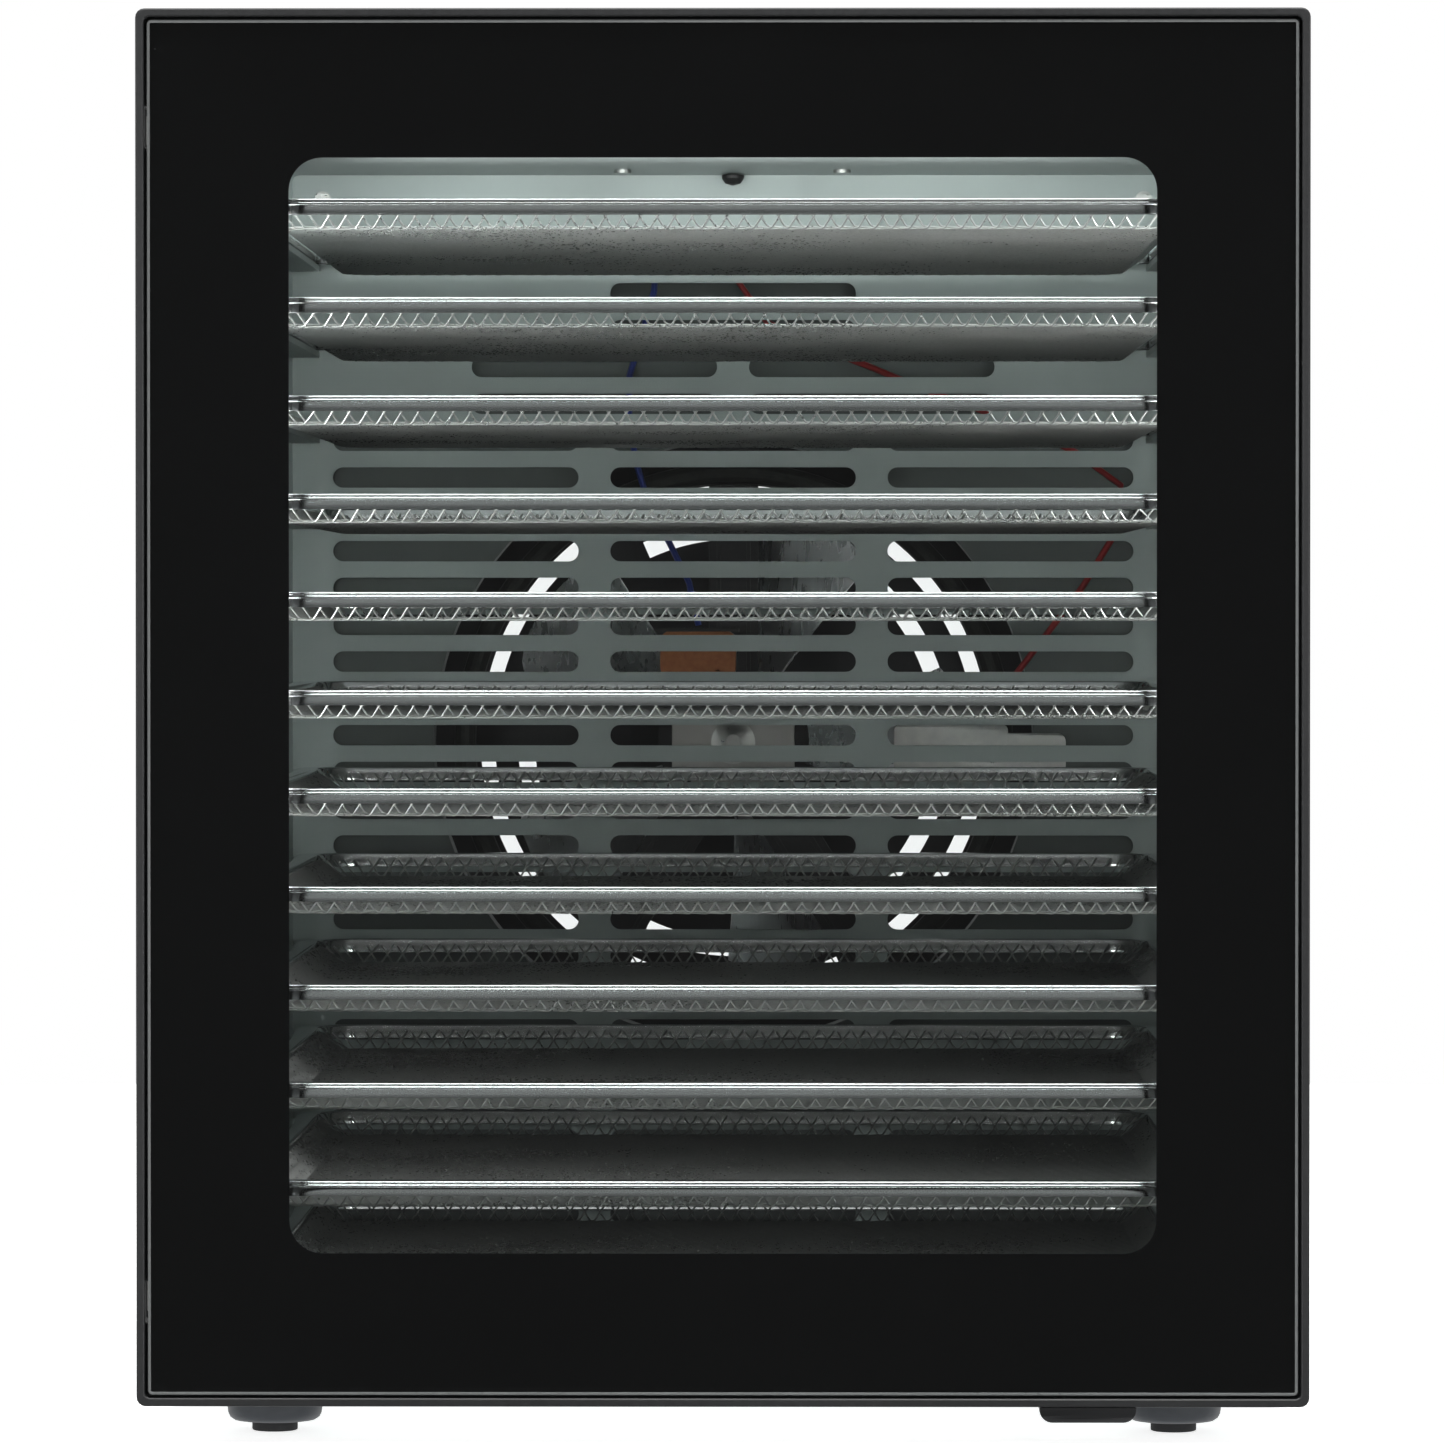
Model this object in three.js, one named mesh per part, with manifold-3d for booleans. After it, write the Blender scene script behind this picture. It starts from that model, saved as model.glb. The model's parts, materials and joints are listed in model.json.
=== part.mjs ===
// Tall food dehydrator with a glass door and twelve wire trays.
// Millimetres, +Z up, the door faces -Y. The origin is on the floor, under the middle of the machine.
import * as THREE from "three";
import { mergeVertices } from "three/addons/utils/BufferGeometryUtils.js";
import Module from "manifold-3d";

const wasm = await Module();
wasm.setup();

// ---------------------------------------------------------------- driving dimensions
const GAP = 0.3; // between pieces that touch on the real machine
const SHEET = 1.5; // outer sheet metal
const THIN_SHEET = 1.2; // cavity sheet metal

// Case
const HALF_WIDTH = 172.5;
const CASE_BOTTOM = 11.5;
const CASE_TOP = 422.5;
const CASE_FRONT = -200;
const SHELL_BACK = 196.5;
const COVER_BACK = 222;
const CASE_CORNER = 3;

// Cavity
const CAVITY_HALF_WIDTH = 150.3;
const CAVITY_FLOOR = 20;
const CAVITY_CEILING = 394.4;
const CAVITY_BACK = 149.9;
const BACK_FLANGE_HALF_WIDTH = 160;
const BACK_FLANGE_TOP = 399;
const SENSOR_Y = 142.5;
const SENSOR_HOLE_RADIUS = 2.4;
const CATCH_LEFT = 160;
const CATCH_RIGHT = 168;
const CATCH_LOW = 207;
const CATCH_HIGH = 227;

// Trays
const TRAY_COUNT = 12;
const TRAY_PITCH = 29.2;
const TOP_RIM_HEIGHT = 368;
const TRAY_HALF_WIDTH = 147;
const TRAY_FRONT = -197;
const TRAY_BACK = 143;
const TRAY_CORNER = 22;
const RIM_BAND = 4.5;
const RIM_WIDTH = 6.8;
const PAN_DEPTH = 7.6;
const PAN_SHEET = 1.1;
const PAN_RUN_X = 8;
const PAN_RUN_Y = 3.5;

// Slotted baffle
const SLOT_LENGTH = 83.8;
const SLOT_HEIGHT = 7;
const SLOT_COLUMN_PITCH = 94.6;
const SLOT_ROW_PITCH = 12.56;
const TOP_SLOT_HEIGHT = 354.2;
const SLOT_ROWS_BY_COLUMNS = [
  [1, 2],
  [2, 2],
  [3, 23],
];

// Fan compartment
const FAN_CENTRE_HEIGHT = 201;
const BAFFLE_FRONT = CAVITY_BACK + GAP;
const SHROUD_FRONT = 166;
const SHROUD_BACK = 185;
const SHROUD_OPENING_RADIUS = 103;
const HEATER_RADIUS = 92.3;
const HEATER_TUBE_RADIUS = 3.75;
const HEATER_CENTRE = 172;
const BRACKET_FRONT = 176.6;
const BRACKET_THICKNESS = 2;
const BRACKET_LEG_WIDTH = 17;
const FAN_RADIUS = 82;
const FAN_BLADES = 5;

// Door
const DOOR_FRONT = -225;
const DOOR_BACK = -203;
const DOOR_CORNER = 2.7;
const DOOR_RIM = 2.5;
const DOOR_GROOVE = 0.9; // open gap between the rim and the pane
const GLASS_FRONT = -224.6;
const GLASS_BACK = -220.5;
const WINDOW_HALF_WIDTH = 131;
const WINDOW_BOTTOM = 53;
const WINDOW_TOP = 382;
const HINGE_X = -166;
const HINGE_Y = -214;
const HINGE_PIN_RADIUS = 2.5;
const HINGE_HEIGHTS = [42, 388];
const PULL_LEFT = 93.2;
const PULL_RIGHT = 121.7;
const PULL_BOTTOM = 6.8;
const SEAL_OUTSIDE = [-158.5, 158.5, 14, 402.5];
const SEAL_INSIDE = [-152.5, 152.5, 19.4, 396.5];

// Feet
const FOOT_X = 134.7;
const FOOT_YS = [-179, 180];
const FOOT_CUP_RADIUS = 14.2;
const FOOT_PAD_RADIUS = 6.85;
const FOOT_PAD_HEIGHT = 3;

// Controls on the top
const PANEL_HALF_WIDTH = 80;
const PANEL_FRONT = -188;
const PANEL_BACK = -122;
const BUTTON_RADIUS = 7;
const BUTTON_XS = [-60, -36, 36, 60];
const BUTTON_Y = -155;
const BUTTON_TOP = 424.7;

// Mains inlet
const INLET_X = -125;
const INLET_HEIGHT = 48;

// ---------------------------------------------------------------- finishes
function finish(colour, roughness, metalness) {
  return new THREE.MeshStandardMaterial({ color: colour, roughness, metalness });
}

const charcoal = () => finish(0x3a3c3f, 0.45, 0.1);
const brushedSteel = () => finish(0xa6a8a8, 0.35, 1);
const galvanised = () => finish(0x6f7a78, 0.5, 0.9);
const blackPlastic = () => finish(0x17181a, 0.5, 0);
const blackRubber = () => finish(0x0c0c0d, 0.85, 0);
const darkSteel = () => finish(0x202224, 0.5, 0.8);
const trayWire = () => finish(0x8c8c8c, 0.4, 1);

// ---------------------------------------------------------------- outlines
// Counter-clockwise loop of a rectangle with round corners.
function roundedLoop(left, right, low, high, radius, steps = 4) {
  const corners = [
    [right - radius, high - radius],
    [left + radius, high - radius],
    [left + radius, low + radius],
    [right - radius, low + radius],
  ];
  const points = [];
  corners.forEach(([x, y], corner) => {
    for (let step = 0; step <= steps; step++) {
      const angle = (Math.PI / 2) * (corner + step / steps);
      points.push(new THREE.Vector2(x + radius * Math.cos(angle), y + radius * Math.sin(angle)));
    }
  });
  return points;
}

function circleLoop(x, y, radius, sides = 20) {
  const points = [];
  for (let side = 0; side < sides; side++) {
    const angle = (2 * Math.PI * side) / sides;
    points.push(new THREE.Vector2(x + radius * Math.cos(angle), y + radius * Math.sin(angle)));
  }
  return points;
}

// A slot with round ends, lying along X.
function slotLoop(x, y, length, height, steps = 3) {
  const radius = height / 2;
  const points = [];
  for (const side of [1, -1]) {
    for (let step = 0; step <= steps; step++) {
      const angle = Math.PI * (step / steps - 0.5) + (side < 0 ? Math.PI : 0);
      const centre = x + side * (length / 2 - radius);
      points.push(new THREE.Vector2(centre + radius * Math.cos(angle), y + radius * Math.sin(angle)));
    }
  }
  return points;
}

// A curved slot between two radii.
function arcSlotLoop(x, y, inner, outer, start, end, steps = 5) {
  const points = [];
  for (let step = 0; step <= steps; step++) {
    const angle = start + ((end - start) * step) / steps;
    points.push(new THREE.Vector2(x + outer * Math.cos(angle), y + outer * Math.sin(angle)));
  }
  for (let step = steps; step >= 0; step--) {
    const angle = start + ((end - start) * step) / steps;
    points.push(new THREE.Vector2(x + inner * Math.cos(angle), y + inner * Math.sin(angle)));
  }
  return points;
}

// ---------------------------------------------------------------- solids
function box(left, right, front, back, low, high) {
  const geometry = new THREE.BoxGeometry(right - left, back - front, high - low);
  return geometry.translate((left + right) / 2, (front + back) / 2, (low + high) / 2);
}

function extruded(outline, depth, holes = []) {
  const shape = new THREE.Shape(outline);
  shape.holes = holes.map((hole) => new THREE.Path(hole));
  return new THREE.ExtrudeGeometry(shape, { depth, bevelEnabled: false, steps: 1 });
}

// An outline in X and Y, raised from low to high.
function alongZ(outline, low, high, holes = []) {
  return extruded(outline, high - low, holes).translate(0, 0, low);
}

// An outline in X and Z, carried from front to back.
function alongY(outline, front, back, holes = []) {
  return extruded(outline, back - front, holes).rotateX(Math.PI / 2).translate(0, back, 0);
}

// Loops of equal length joined one to the next, with the first and the last closed by a flat face.
function loft(loops) {
  const count = loops[0].length;
  const positions = loops.flat(2);
  const indices = [];
  loops.slice(1).forEach((_, row) => {
    for (let i = 0; i < count; i++) {
      const a = row * count + i;
      const b = row * count + ((i + 1) % count);
      indices.push(a, a + count, b, b, a + count, b + count);
    }
  });
  const last = (loops.length - 1) * count;
  for (let i = 1; i < count - 1; i++) {
    indices.push(0, i, i + 1, last, last + i + 1, last + i);
  }
  const geometry = new THREE.BufferGeometry();
  geometry.setAttribute("position", new THREE.Float32BufferAttribute(positions, 3));
  return geometry.setIndex(indices);
}

function solid(geometry) {
  const bare = new THREE.BufferGeometry().setAttribute("position", geometry.getAttribute("position"));
  bare.setIndex(geometry.index);
  const merged = mergeVertices(bare, 1e-4);
  return new wasm.Manifold(
    new wasm.Mesh({
      numProp: 3,
      vertProperties: merged.attributes.position.array,
      triVerts: new Uint32Array(merged.index.array),
    }),
  );
}

// The joined pieces, less the cut ones, as one geometry.
function joined(pieces, cuts = []) {
  let body = pieces.map(solid).reduce((whole, piece) => whole.add(piece));
  body = cuts.map(solid).reduce((whole, cut) => whole.subtract(cut), body);
  const mesh = body.getMesh();
  const geometry = new THREE.BufferGeometry();
  geometry.setAttribute("position", new THREE.BufferAttribute(mesh.vertProperties, 3));
  return geometry.setIndex(new THREE.BufferAttribute(mesh.triVerts, 1));
}

function cylinderAlongZ(x, y, radius, low, high, sides = 20) {
  return alongZ(circleLoop(x, y, radius, sides), low, high);
}

function cylinderAlongY(x, z, radius, front, back, sides = 20) {
  return alongY(circleLoop(x, z, radius, sides), front, back);
}

function part(name, geometry, material) {
  const mesh = new THREE.Mesh(geometry, material);
  mesh.name = name;
  return mesh;
}

// ---------------------------------------------------------------- case
// Sides and top in one bent sheet, with an opening in the top for the controls.
function cabinetShell() {
  const low = CASE_BOTTOM + 0.5;
  const outer = roundedLoop(-HALF_WIDTH, HALF_WIDTH, low - CASE_CORNER, CASE_TOP, CASE_CORNER, 3);
  const inner = box(
    SHEET - HALF_WIDTH,
    HALF_WIDTH - SHEET,
    CASE_FRONT - 1,
    SHELL_BACK + 1,
    low - 2 * CASE_CORNER,
    CASE_TOP - SHEET,
  );
  const lap = 2.5; // of the panel over the sheet
  const controls = box(
    lap - PANEL_HALF_WIDTH,
    PANEL_HALF_WIDTH - lap,
    PANEL_FRONT + lap,
    PANEL_BACK - lap,
    CASE_TOP - 5,
    CASE_TOP + 5,
  );
  const wide = HALF_WIDTH + 5;
  const underside = box(-wide, wide, CASE_FRONT - 1, SHELL_BACK + 1, low - 2 * CASE_CORNER, low);
  return joined([alongY(outer, CASE_FRONT, SHELL_BACK)], [inner, controls, underside]);
}

function basePan() {
  const right = HALF_WIDTH - SHEET - GAP;
  const low = CASE_BOTTOM + GAP;
  const front = CASE_FRONT + SHEET + 0.5;
  const back = SHELL_BACK - GAP;
  const flange = 14;
  return joined([
    box(-right, right, front, back, low, low + SHEET),
    box(-right, SHEET - right, front, back, low, low + flange),
    box(right - SHEET, right, front, back, low, low + flange),
  ]);
}

// Front flange, cavity box, back flange and a ledge on each side for every tray.
function cavityLiner() {
  const opening = roundedLoop(-CAVITY_HALF_WIDTH, CAVITY_HALF_WIDTH, CAVITY_FLOOR, CAVITY_CEILING, 2, 2);
  const right = HALF_WIDTH - SHEET - GAP;
  const low = CASE_BOTTOM + GAP + SHEET + GAP;
  const high = CASE_TOP - SHEET - GAP;
  const flange = roundedLoop(-right, right, low, high, 1, 1);
  const boxOutside = roundedLoop(
    -CAVITY_HALF_WIDTH - THIN_SHEET,
    CAVITY_HALF_WIDTH + THIN_SHEET,
    CAVITY_FLOOR - THIN_SHEET,
    CAVITY_CEILING + THIN_SHEET,
    3,
    2,
  );
  const backFlange = roundedLoop(
    -BACK_FLANGE_HALF_WIDTH,
    BACK_FLANGE_HALF_WIDTH,
    CAVITY_FLOOR - 4,
    BACK_FLANGE_TOP,
    2,
    1,
  );
  const ledgeWidth = 9.8;
  const ledgeThickness = 2;
  const ledges = [];
  for (let tray = 0; tray < TRAY_COUNT; tray++) {
    const top = TOP_RIM_HEIGHT - TRAY_PITCH * tray - RIM_BAND - GAP;
    const wall = CAVITY_HALF_WIDTH + THIN_SHEET / 2;
    const edge = CAVITY_HALF_WIDTH - ledgeWidth;
    ledges.push(box(-wall, -edge, CASE_FRONT + 8, CAVITY_BACK - 8, top - ledgeThickness, top));
    ledges.push(box(edge, wall, CASE_FRONT + 8, CAVITY_BACK - 8, top - ledgeThickness, top));
  }
  return joined(
    [
      alongY(flange, CASE_FRONT, CASE_FRONT + SHEET, [opening]),
      alongY(boxOutside, CASE_FRONT, CAVITY_BACK, [opening]),
      alongY(backFlange, CAVITY_BACK - THIN_SHEET, CAVITY_BACK, [opening]),
      ...ledges,
    ],
    [
      cylinderAlongZ(0, SENSOR_Y, SENSOR_HOLE_RADIUS, CAVITY_CEILING - 1, CAVITY_CEILING + 5, 12),
      box(
        CATCH_LEFT - GAP,
        CATCH_RIGHT + GAP,
        CASE_FRONT - 1,
        CASE_FRONT + 5,
        CATCH_LOW - GAP,
        CATCH_HIGH + GAP,
      ),
    ],
  );
}

function slottedBaffle() {
  const outline = roundedLoop(
    -BACK_FLANGE_HALF_WIDTH,
    BACK_FLANGE_HALF_WIDTH,
    CAVITY_FLOOR - 4,
    BACK_FLANGE_TOP,
    2,
    1,
  );
  const slots = [];
  let height = TOP_SLOT_HEIGHT;
  for (const [columns, rows] of SLOT_ROWS_BY_COLUMNS) {
    for (let row = 0; row < rows; row++) {
      for (let column = 0; column < columns; column++) {
        const x = (column - (columns - 1) / 2) * SLOT_COLUMN_PITCH;
        slots.push(slotLoop(x, height, SLOT_LENGTH, SLOT_HEIGHT));
      }
      height -= SLOT_ROW_PITCH;
    }
  }
  return alongY(outline, BAFFLE_FRONT, BAFFLE_FRONT + THIN_SHEET, slots);
}

// Shallow pan that closes the back, with two rings of curved vents behind the fan.
function rearCover() {
  const low = CASE_BOTTOM + 0.5;
  const outer = roundedLoop(-HALF_WIDTH, HALF_WIDTH, low, CASE_TOP, CASE_CORNER, 3);
  const inner = roundedLoop(SHEET - HALF_WIDTH, HALF_WIDTH - SHEET, low + SHEET, CASE_TOP - SHEET, 1.5, 2);
  const vents = [];
  const ventSpan = (50 * Math.PI) / 180;
  for (const [from, to] of [
    [70, 76],
    [84, 89],
  ]) {
    for (let vent = 0; vent < 6; vent++) {
      const start = (vent * Math.PI) / 3 + (5 * Math.PI) / 180;
      vents.push(arcSlotLoop(0, FAN_CENTRE_HEIGHT, from, to, start, start + ventSpan));
    }
  }
  for (const x of [-96.5, 96.5]) {
    for (const height of [134.4, 267.6]) {
      vents.push(circleLoop(x, height, 2.1, 8));
    }
  }
  const socket = roundedLoop(INLET_X - 13.8, INLET_X + 13.8, INLET_HEIGHT - 10.1, INLET_HEIGHT + 10.1, 0.3, 1);
  return joined([
    alongY(outer, COVER_BACK - SHEET, COVER_BACK, [...vents, socket]),
    alongY(outer, SHELL_BACK + GAP, COVER_BACK - SHEET / 2, [inner]),
  ]);
}

// ---------------------------------------------------------------- fan compartment
function fanShroud() {
  const centre = FAN_CENTRE_HEIGHT;
  const outline = roundedLoop(
    -BACK_FLANGE_HALF_WIDTH,
    BACK_FLANGE_HALF_WIDTH,
    CAVITY_FLOOR - 4,
    BACK_FLANGE_TOP,
    2,
    1,
  );
  const opening = circleLoop(0, centre, SHROUD_OPENING_RADIUS, 36);
  const collar = circleLoop(0, centre, SHROUD_OPENING_RADIUS + THIN_SHEET, 36);
  return joined([
    alongY(outline, SHROUD_FRONT, SHROUD_FRONT + THIN_SHEET, [opening]),
    alongY(collar, SHROUD_FRONT, SHROUD_BACK, [opening]),
  ]);
}

// Ring-shaped tube with its two terminals pointing to the back.
function heaterCoil() {
  const ring = new THREE.TorusGeometry(HEATER_RADIUS, HEATER_TUBE_RADIUS, 8, 36);
  ring.rotateX(Math.PI / 2).translate(0, HEATER_CENTRE, FAN_CENTRE_HEIGHT);
  const terminals = [198, 212].map((degrees) => {
    const angle = (degrees * Math.PI) / 180;
    const x = HEATER_RADIUS * Math.cos(angle);
    const z = FAN_CENTRE_HEIGHT + HEATER_RADIUS * Math.sin(angle);
    return cylinderAlongY(x, z, HEATER_TUBE_RADIUS * 0.8, HEATER_CENTRE, 200, 8);
  });
  return joined([ring, ...terminals]);
}

// Shaded-pole motor: lamination block, winding above it, bearing boss behind it.
function fanMotor() {
  const z = FAN_CENTRE_HEIGHT;
  return joined(
    [
      box(-21, 21, 158, 173.5, z - 18, z + 18),
      box(-20, -4, 160, 172, z + 17, z + 22),
      alongY(roundedLoop(-26, 2, z + 21, z + 39, 4, 2), 156, 175.5),
      cylinderAlongY(0, z, 12, 172, BRACKET_FRONT - GAP, 16),
    ],
    [cylinderAlongY(0, z, 3, 150, 180, 12)],
  );
}

// Three black legs that hold the motor in the middle of the shroud's opening.
function motorBracket() {
  const z = FAN_CENTRE_HEIGHT;
  const back = BRACKET_FRONT + BRACKET_THICKNESS;
  const reach = SHROUD_OPENING_RADIUS - 1;
  const legs = [90, -58, -122].map((degrees) => {
    const leg = box(0, reach, BRACKET_FRONT, back, -BRACKET_LEG_WIDTH / 2, BRACKET_LEG_WIDTH / 2);
    return leg.rotateY((-degrees * Math.PI) / 180).translate(0, 0, z);
  });
  return joined(
    [cylinderAlongY(0, z, 26, BRACKET_FRONT, back, 24), ...legs],
    [cylinderAlongY(0, z, 6, BRACKET_FRONT - 1, back + 1, 12)],
  );
}

function fanRotor() {
  const z = FAN_CENTRE_HEIGHT;
  const hubFront = 181;
  const hubBack = 201;
  const pitch = (20 * Math.PI) / 180;
  const blades = [];
  for (let blade = 0; blade < FAN_BLADES; blade++) {
    const outline = arcSlotLoop(0, 0, 8, FAN_RADIUS, -0.36, 0.36, 4);
    const piece = alongY(outline, -0.6, 0.6).rotateX(pitch);
    piece.rotateY((-2 * Math.PI * blade) / FAN_BLADES).translate(0, (hubFront + hubBack) / 2, z);
    blades.push(piece);
  }
  const bladeRoom = cylinderAlongY(0, z, FAN_RADIUS - 0.5, 100, 300, 30);
  const swept = solid(joined(blades)).intersect(solid(bladeRoom)).getMesh();
  const trimmed = new THREE.BufferGeometry();
  trimmed.setAttribute("position", new THREE.BufferAttribute(swept.vertProperties, 3));
  trimmed.setIndex(new THREE.BufferAttribute(swept.triVerts, 1));
  return joined([
    trimmed,
    cylinderAlongY(0, z, 14, hubFront, hubBack, 20),
    cylinderAlongY(0, z, 2.4, 160, hubBack + 3, 12),
  ]);
}

// Light metal box beside the motor, held by a tab on the shroud.
function terminalBox() {
  const z = FAN_CENTRE_HEIGHT - 4;
  return joined([
    alongY(roundedLoop(55, 94, z - 10, z + 10, 2, 2), 157, 164.5),
    box(88, 114, 164.2, SHROUD_FRONT - GAP, z - 7, z + 7),
  ]);
}

function wire(points, radius) {
  const path = new THREE.CatmullRomCurve3(points.map((point) => new THREE.Vector3(...point)));
  const section = new THREE.Shape(circleLoop(0, 0, radius, 8));
  return new THREE.ExtrudeGeometry(section, { steps: 30, bevelEnabled: false, extrudePath: path });
}

const RED_ROUTE = [
  [18, -124, 406],
  [16, -40, 405],
  [8, 60, 405],
  [2, 150, 407],
  [0, 158, 399],
  [4, 158.5, 352],
  [50, 159, 328],
  [112, 159.5, 303],
  [134, 160, 286],
  [122, 160, 258],
  [98, 160.5, 226],
  [86, 160.7, 208],
];

const BLUE_ROUTE = [
  [-18, -124, 406],
  [-20, -40, 405],
  [-24, 60, 405],
  [-26, 150, 407],
  [-26, 158, 399],
  [-27, 158.5, 356],
  [-36, 160, 322],
  [-30, 162, 285],
  [-16, 164, 258],
  [-12, 165, 241],
];

// ---------------------------------------------------------------- inside the top
function catchMagnet() {
  return box(CATCH_LEFT, CATCH_RIGHT, DOOR_BACK + 0.6, CASE_FRONT + 10, CATCH_LOW, CATCH_HIGH);
}

function tempSensor() {
  const profile = [
    [0, CAVITY_CEILING - 4],
    [2.6, CAVITY_CEILING - 3.3],
    [3.75, CAVITY_CEILING - 1.6],
    [3.75, CAVITY_CEILING - GAP],
    [1.9, CAVITY_CEILING - GAP],
    [1.9, CAVITY_CEILING + THIN_SHEET + GAP],
    [4, CAVITY_CEILING + THIN_SHEET + GAP],
    [4, CAVITY_CEILING + 5],
    [0, CAVITY_CEILING + 5],
  ];
  const turned = new THREE.LatheGeometry(profile.map((point) => new THREE.Vector2(...point)), 12);
  return turned.rotateX(Math.PI / 2).translate(0, SENSOR_Y, 0);
}

function controlBoard() {
  const low = 410;
  const high = 411.6;
  const switches = BUTTON_XS.map((x) => box(x - 3, x + 3, BUTTON_Y - 3, BUTTON_Y + 3, high - 0.1, high + 1.2));
  return joined([
    box(-72, 72, -183, -127, low, high),
    box(-40, -16, -178, -158, low - 9, low + 0.1),
    box(0, 18, -176, -162, low - 8, low + 0.1),
    box(24, 62, -150, -132, low - 6, low + 0.1),
    box(-25, 25, -168, -142, high - 0.1, high + 4),
    ...switches,
  ]);
}

function controlPanel() {
  const low = CASE_TOP + GAP;
  const outline = roundedLoop(-PANEL_HALF_WIDTH, PANEL_HALF_WIDTH, PANEL_FRONT, PANEL_BACK, 6, 3);
  const holes = BUTTON_XS.map((x) => circleLoop(x, BUTTON_Y, BUTTON_RADIUS + GAP, 20));
  const posts = [];
  for (const x of [-68, 68]) {
    for (const y of [-179, -131]) {
      posts.push(cylinderAlongZ(x, y, 2.5, 411.9, low + 0.2, 8));
    }
  }
  return joined([alongZ(outline, low, low + THIN_SHEET, holes), ...posts]);
}

function button() {
  const low = 414;
  const profile = [
    [0, low],
    [4, low],
    [4, 418],
    [8.2, 418],
    [8.2, 419.5],
    [BUTTON_RADIUS, 419.5],
    [BUTTON_RADIUS, BUTTON_TOP - 0.5],
    [BUTTON_RADIUS - 0.8, BUTTON_TOP],
    [0, BUTTON_TOP],
  ];
  const turned = new THREE.LatheGeometry(profile.map((point) => new THREE.Vector2(...point)), 20);
  return turned.rotateX(Math.PI / 2);
}

// ---------------------------------------------------------------- back
// Inlet for a detachable lead: flange, body, socket and three blades.
function powerInlet() {
  const x = INLET_X;
  const z = INLET_HEIGHT;
  const flangeFront = COVER_BACK + GAP;
  const back = 225;
  const socketFront = 208;
  const blades = [
    [-7, -1],
    [0, 3],
    [7, -1],
  ].map(([dx, dz]) => box(x + dx - 1, x + dx + 1, socketFront - 1, back - 3, z + dz - 2, z + dz + 2));
  const socket = alongY(roundedLoop(x - 12.2, x + 12.2, z - 8.3, z + 8.3, 2, 2), socketFront, back + 1);
  const shell = joined(
    [
      alongY(roundedLoop(x - 25, x + 25, z - 12, z + 12, 6, 3), flangeFront, back),
      box(x - 13.5, x + 13.5, 205, back - 1, z - 9.8, z + 9.8),
    ],
    [socket],
  );
  return joined([shell, ...blades]);
}

// ---------------------------------------------------------------- feet
function footCup() {
  const low = FOOT_PAD_HEIGHT;
  const radius = FOOT_CUP_RADIUS;
  const profile = [
    [0, low],
    [radius - 3, low],
    [radius - 0.9, low + 0.9],
    [radius, low + 3],
    [radius, CASE_BOTTOM],
    [0, CASE_BOTTOM],
  ];
  const turned = new THREE.LatheGeometry(profile.map((point) => new THREE.Vector2(...point)), 20);
  return turned.rotateX(Math.PI / 2);
}

// ---------------------------------------------------------------- door
function doorFrame() {
  const outer = roundedLoop(-HALF_WIDTH, HALF_WIDTH, CASE_BOTTOM, CASE_TOP, DOOR_CORNER, 4);
  const rim = DOOR_RIM;
  const pocket = roundedLoop(rim - HALF_WIDTH, HALF_WIDTH - rim, CASE_BOTTOM + rim, CASE_TOP - rim, 1.5, 2);
  const window = roundedLoop(-WINDOW_HALF_WIDTH, WINDOW_HALF_WIDTH, WINDOW_BOTTOM, WINDOW_TOP, 12, 4);
  const cuts = [
    alongY(pocket, DOOR_FRONT - 1, GLASS_BACK + GAP),
    alongY(window, DOOR_FRONT - 1, DOOR_BACK + 1),
  ];
  for (const height of HINGE_HEIGHTS) {
    cuts.push(box(-HALF_WIDTH - 1, HINGE_X + 7.5, HINGE_Y - 7.5, DOOR_BACK + 1, height - 6, height + 6));
    cuts.push(cylinderAlongZ(HINGE_X, HINGE_Y, HINGE_PIN_RADIUS + 0.1, height - 13, height + 13, 20));
  }
  return joined([alongY(outer, DOOR_FRONT, DOOR_BACK)], cuts);
}

function doorGlass() {
  const inset = DOOR_RIM + DOOR_GROOVE;
  const pane = roundedLoop(inset - HALF_WIDTH, HALF_WIDTH - inset, CASE_BOTTOM + inset, CASE_TOP - inset, 1.2, 2);
  return alongY(pane, GLASS_FRONT, GLASS_BACK);
}

function doorSeal() {
  const outer = roundedLoop(...SEAL_OUTSIDE, 6, 3);
  const inner = roundedLoop(...SEAL_INSIDE, 3, 3);
  return alongY(outer, DOOR_BACK + GAP, CASE_FRONT - GAP, [inner]);
}

// Bent steel tab: a lip that hangs below the door's edge and a leg that runs back under the door.
function doorPull() {
  const top = CASE_BOTTOM - GAP;
  const lip = roundedLoop(PULL_LEFT, PULL_RIGHT, PULL_BOTTOM, top + 4, 1.6, 3);
  return joined(
    [alongY(lip, -223.4, -222.2), box(PULL_LEFT, PULL_RIGHT, -222.4, -207, top - 1.2, top)],
    [box(PULL_LEFT - 1, PULL_RIGHT + 1, -224, -206, top, top + 10)],
  );
}

// Arm fixed to the case's front, with the pin that the door turns on.
function hingePin(height) {
  return joined([
    box(-171, -161, CASE_FRONT - GAP - SHEET, CASE_FRONT - GAP, height - 4.5, height + 4.5),
    box(HINGE_X - 3.5, HINGE_X + 3.5, HINGE_Y, CASE_FRONT - 1, height - 2, height + 2),
    cylinderAlongZ(HINGE_X, HINGE_Y, 3.5, height - 2, height + 2, 16),
    cylinderAlongZ(HINGE_X, HINGE_Y, HINGE_PIN_RADIUS, height - 12, height + 12, 20),
  ]);
}

// ---------------------------------------------------------------- trays
// Outline of a tray moved in by an amount across and an amount front to back.
function trayLoop(insetX, insetY) {
  return roundedLoop(
    insetX - TRAY_HALF_WIDTH,
    TRAY_HALF_WIDTH - insetX,
    TRAY_FRONT + insetY,
    TRAY_BACK - insetY,
    TRAY_CORNER - Math.max(insetX, insetY),
    4,
  );
}

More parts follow.
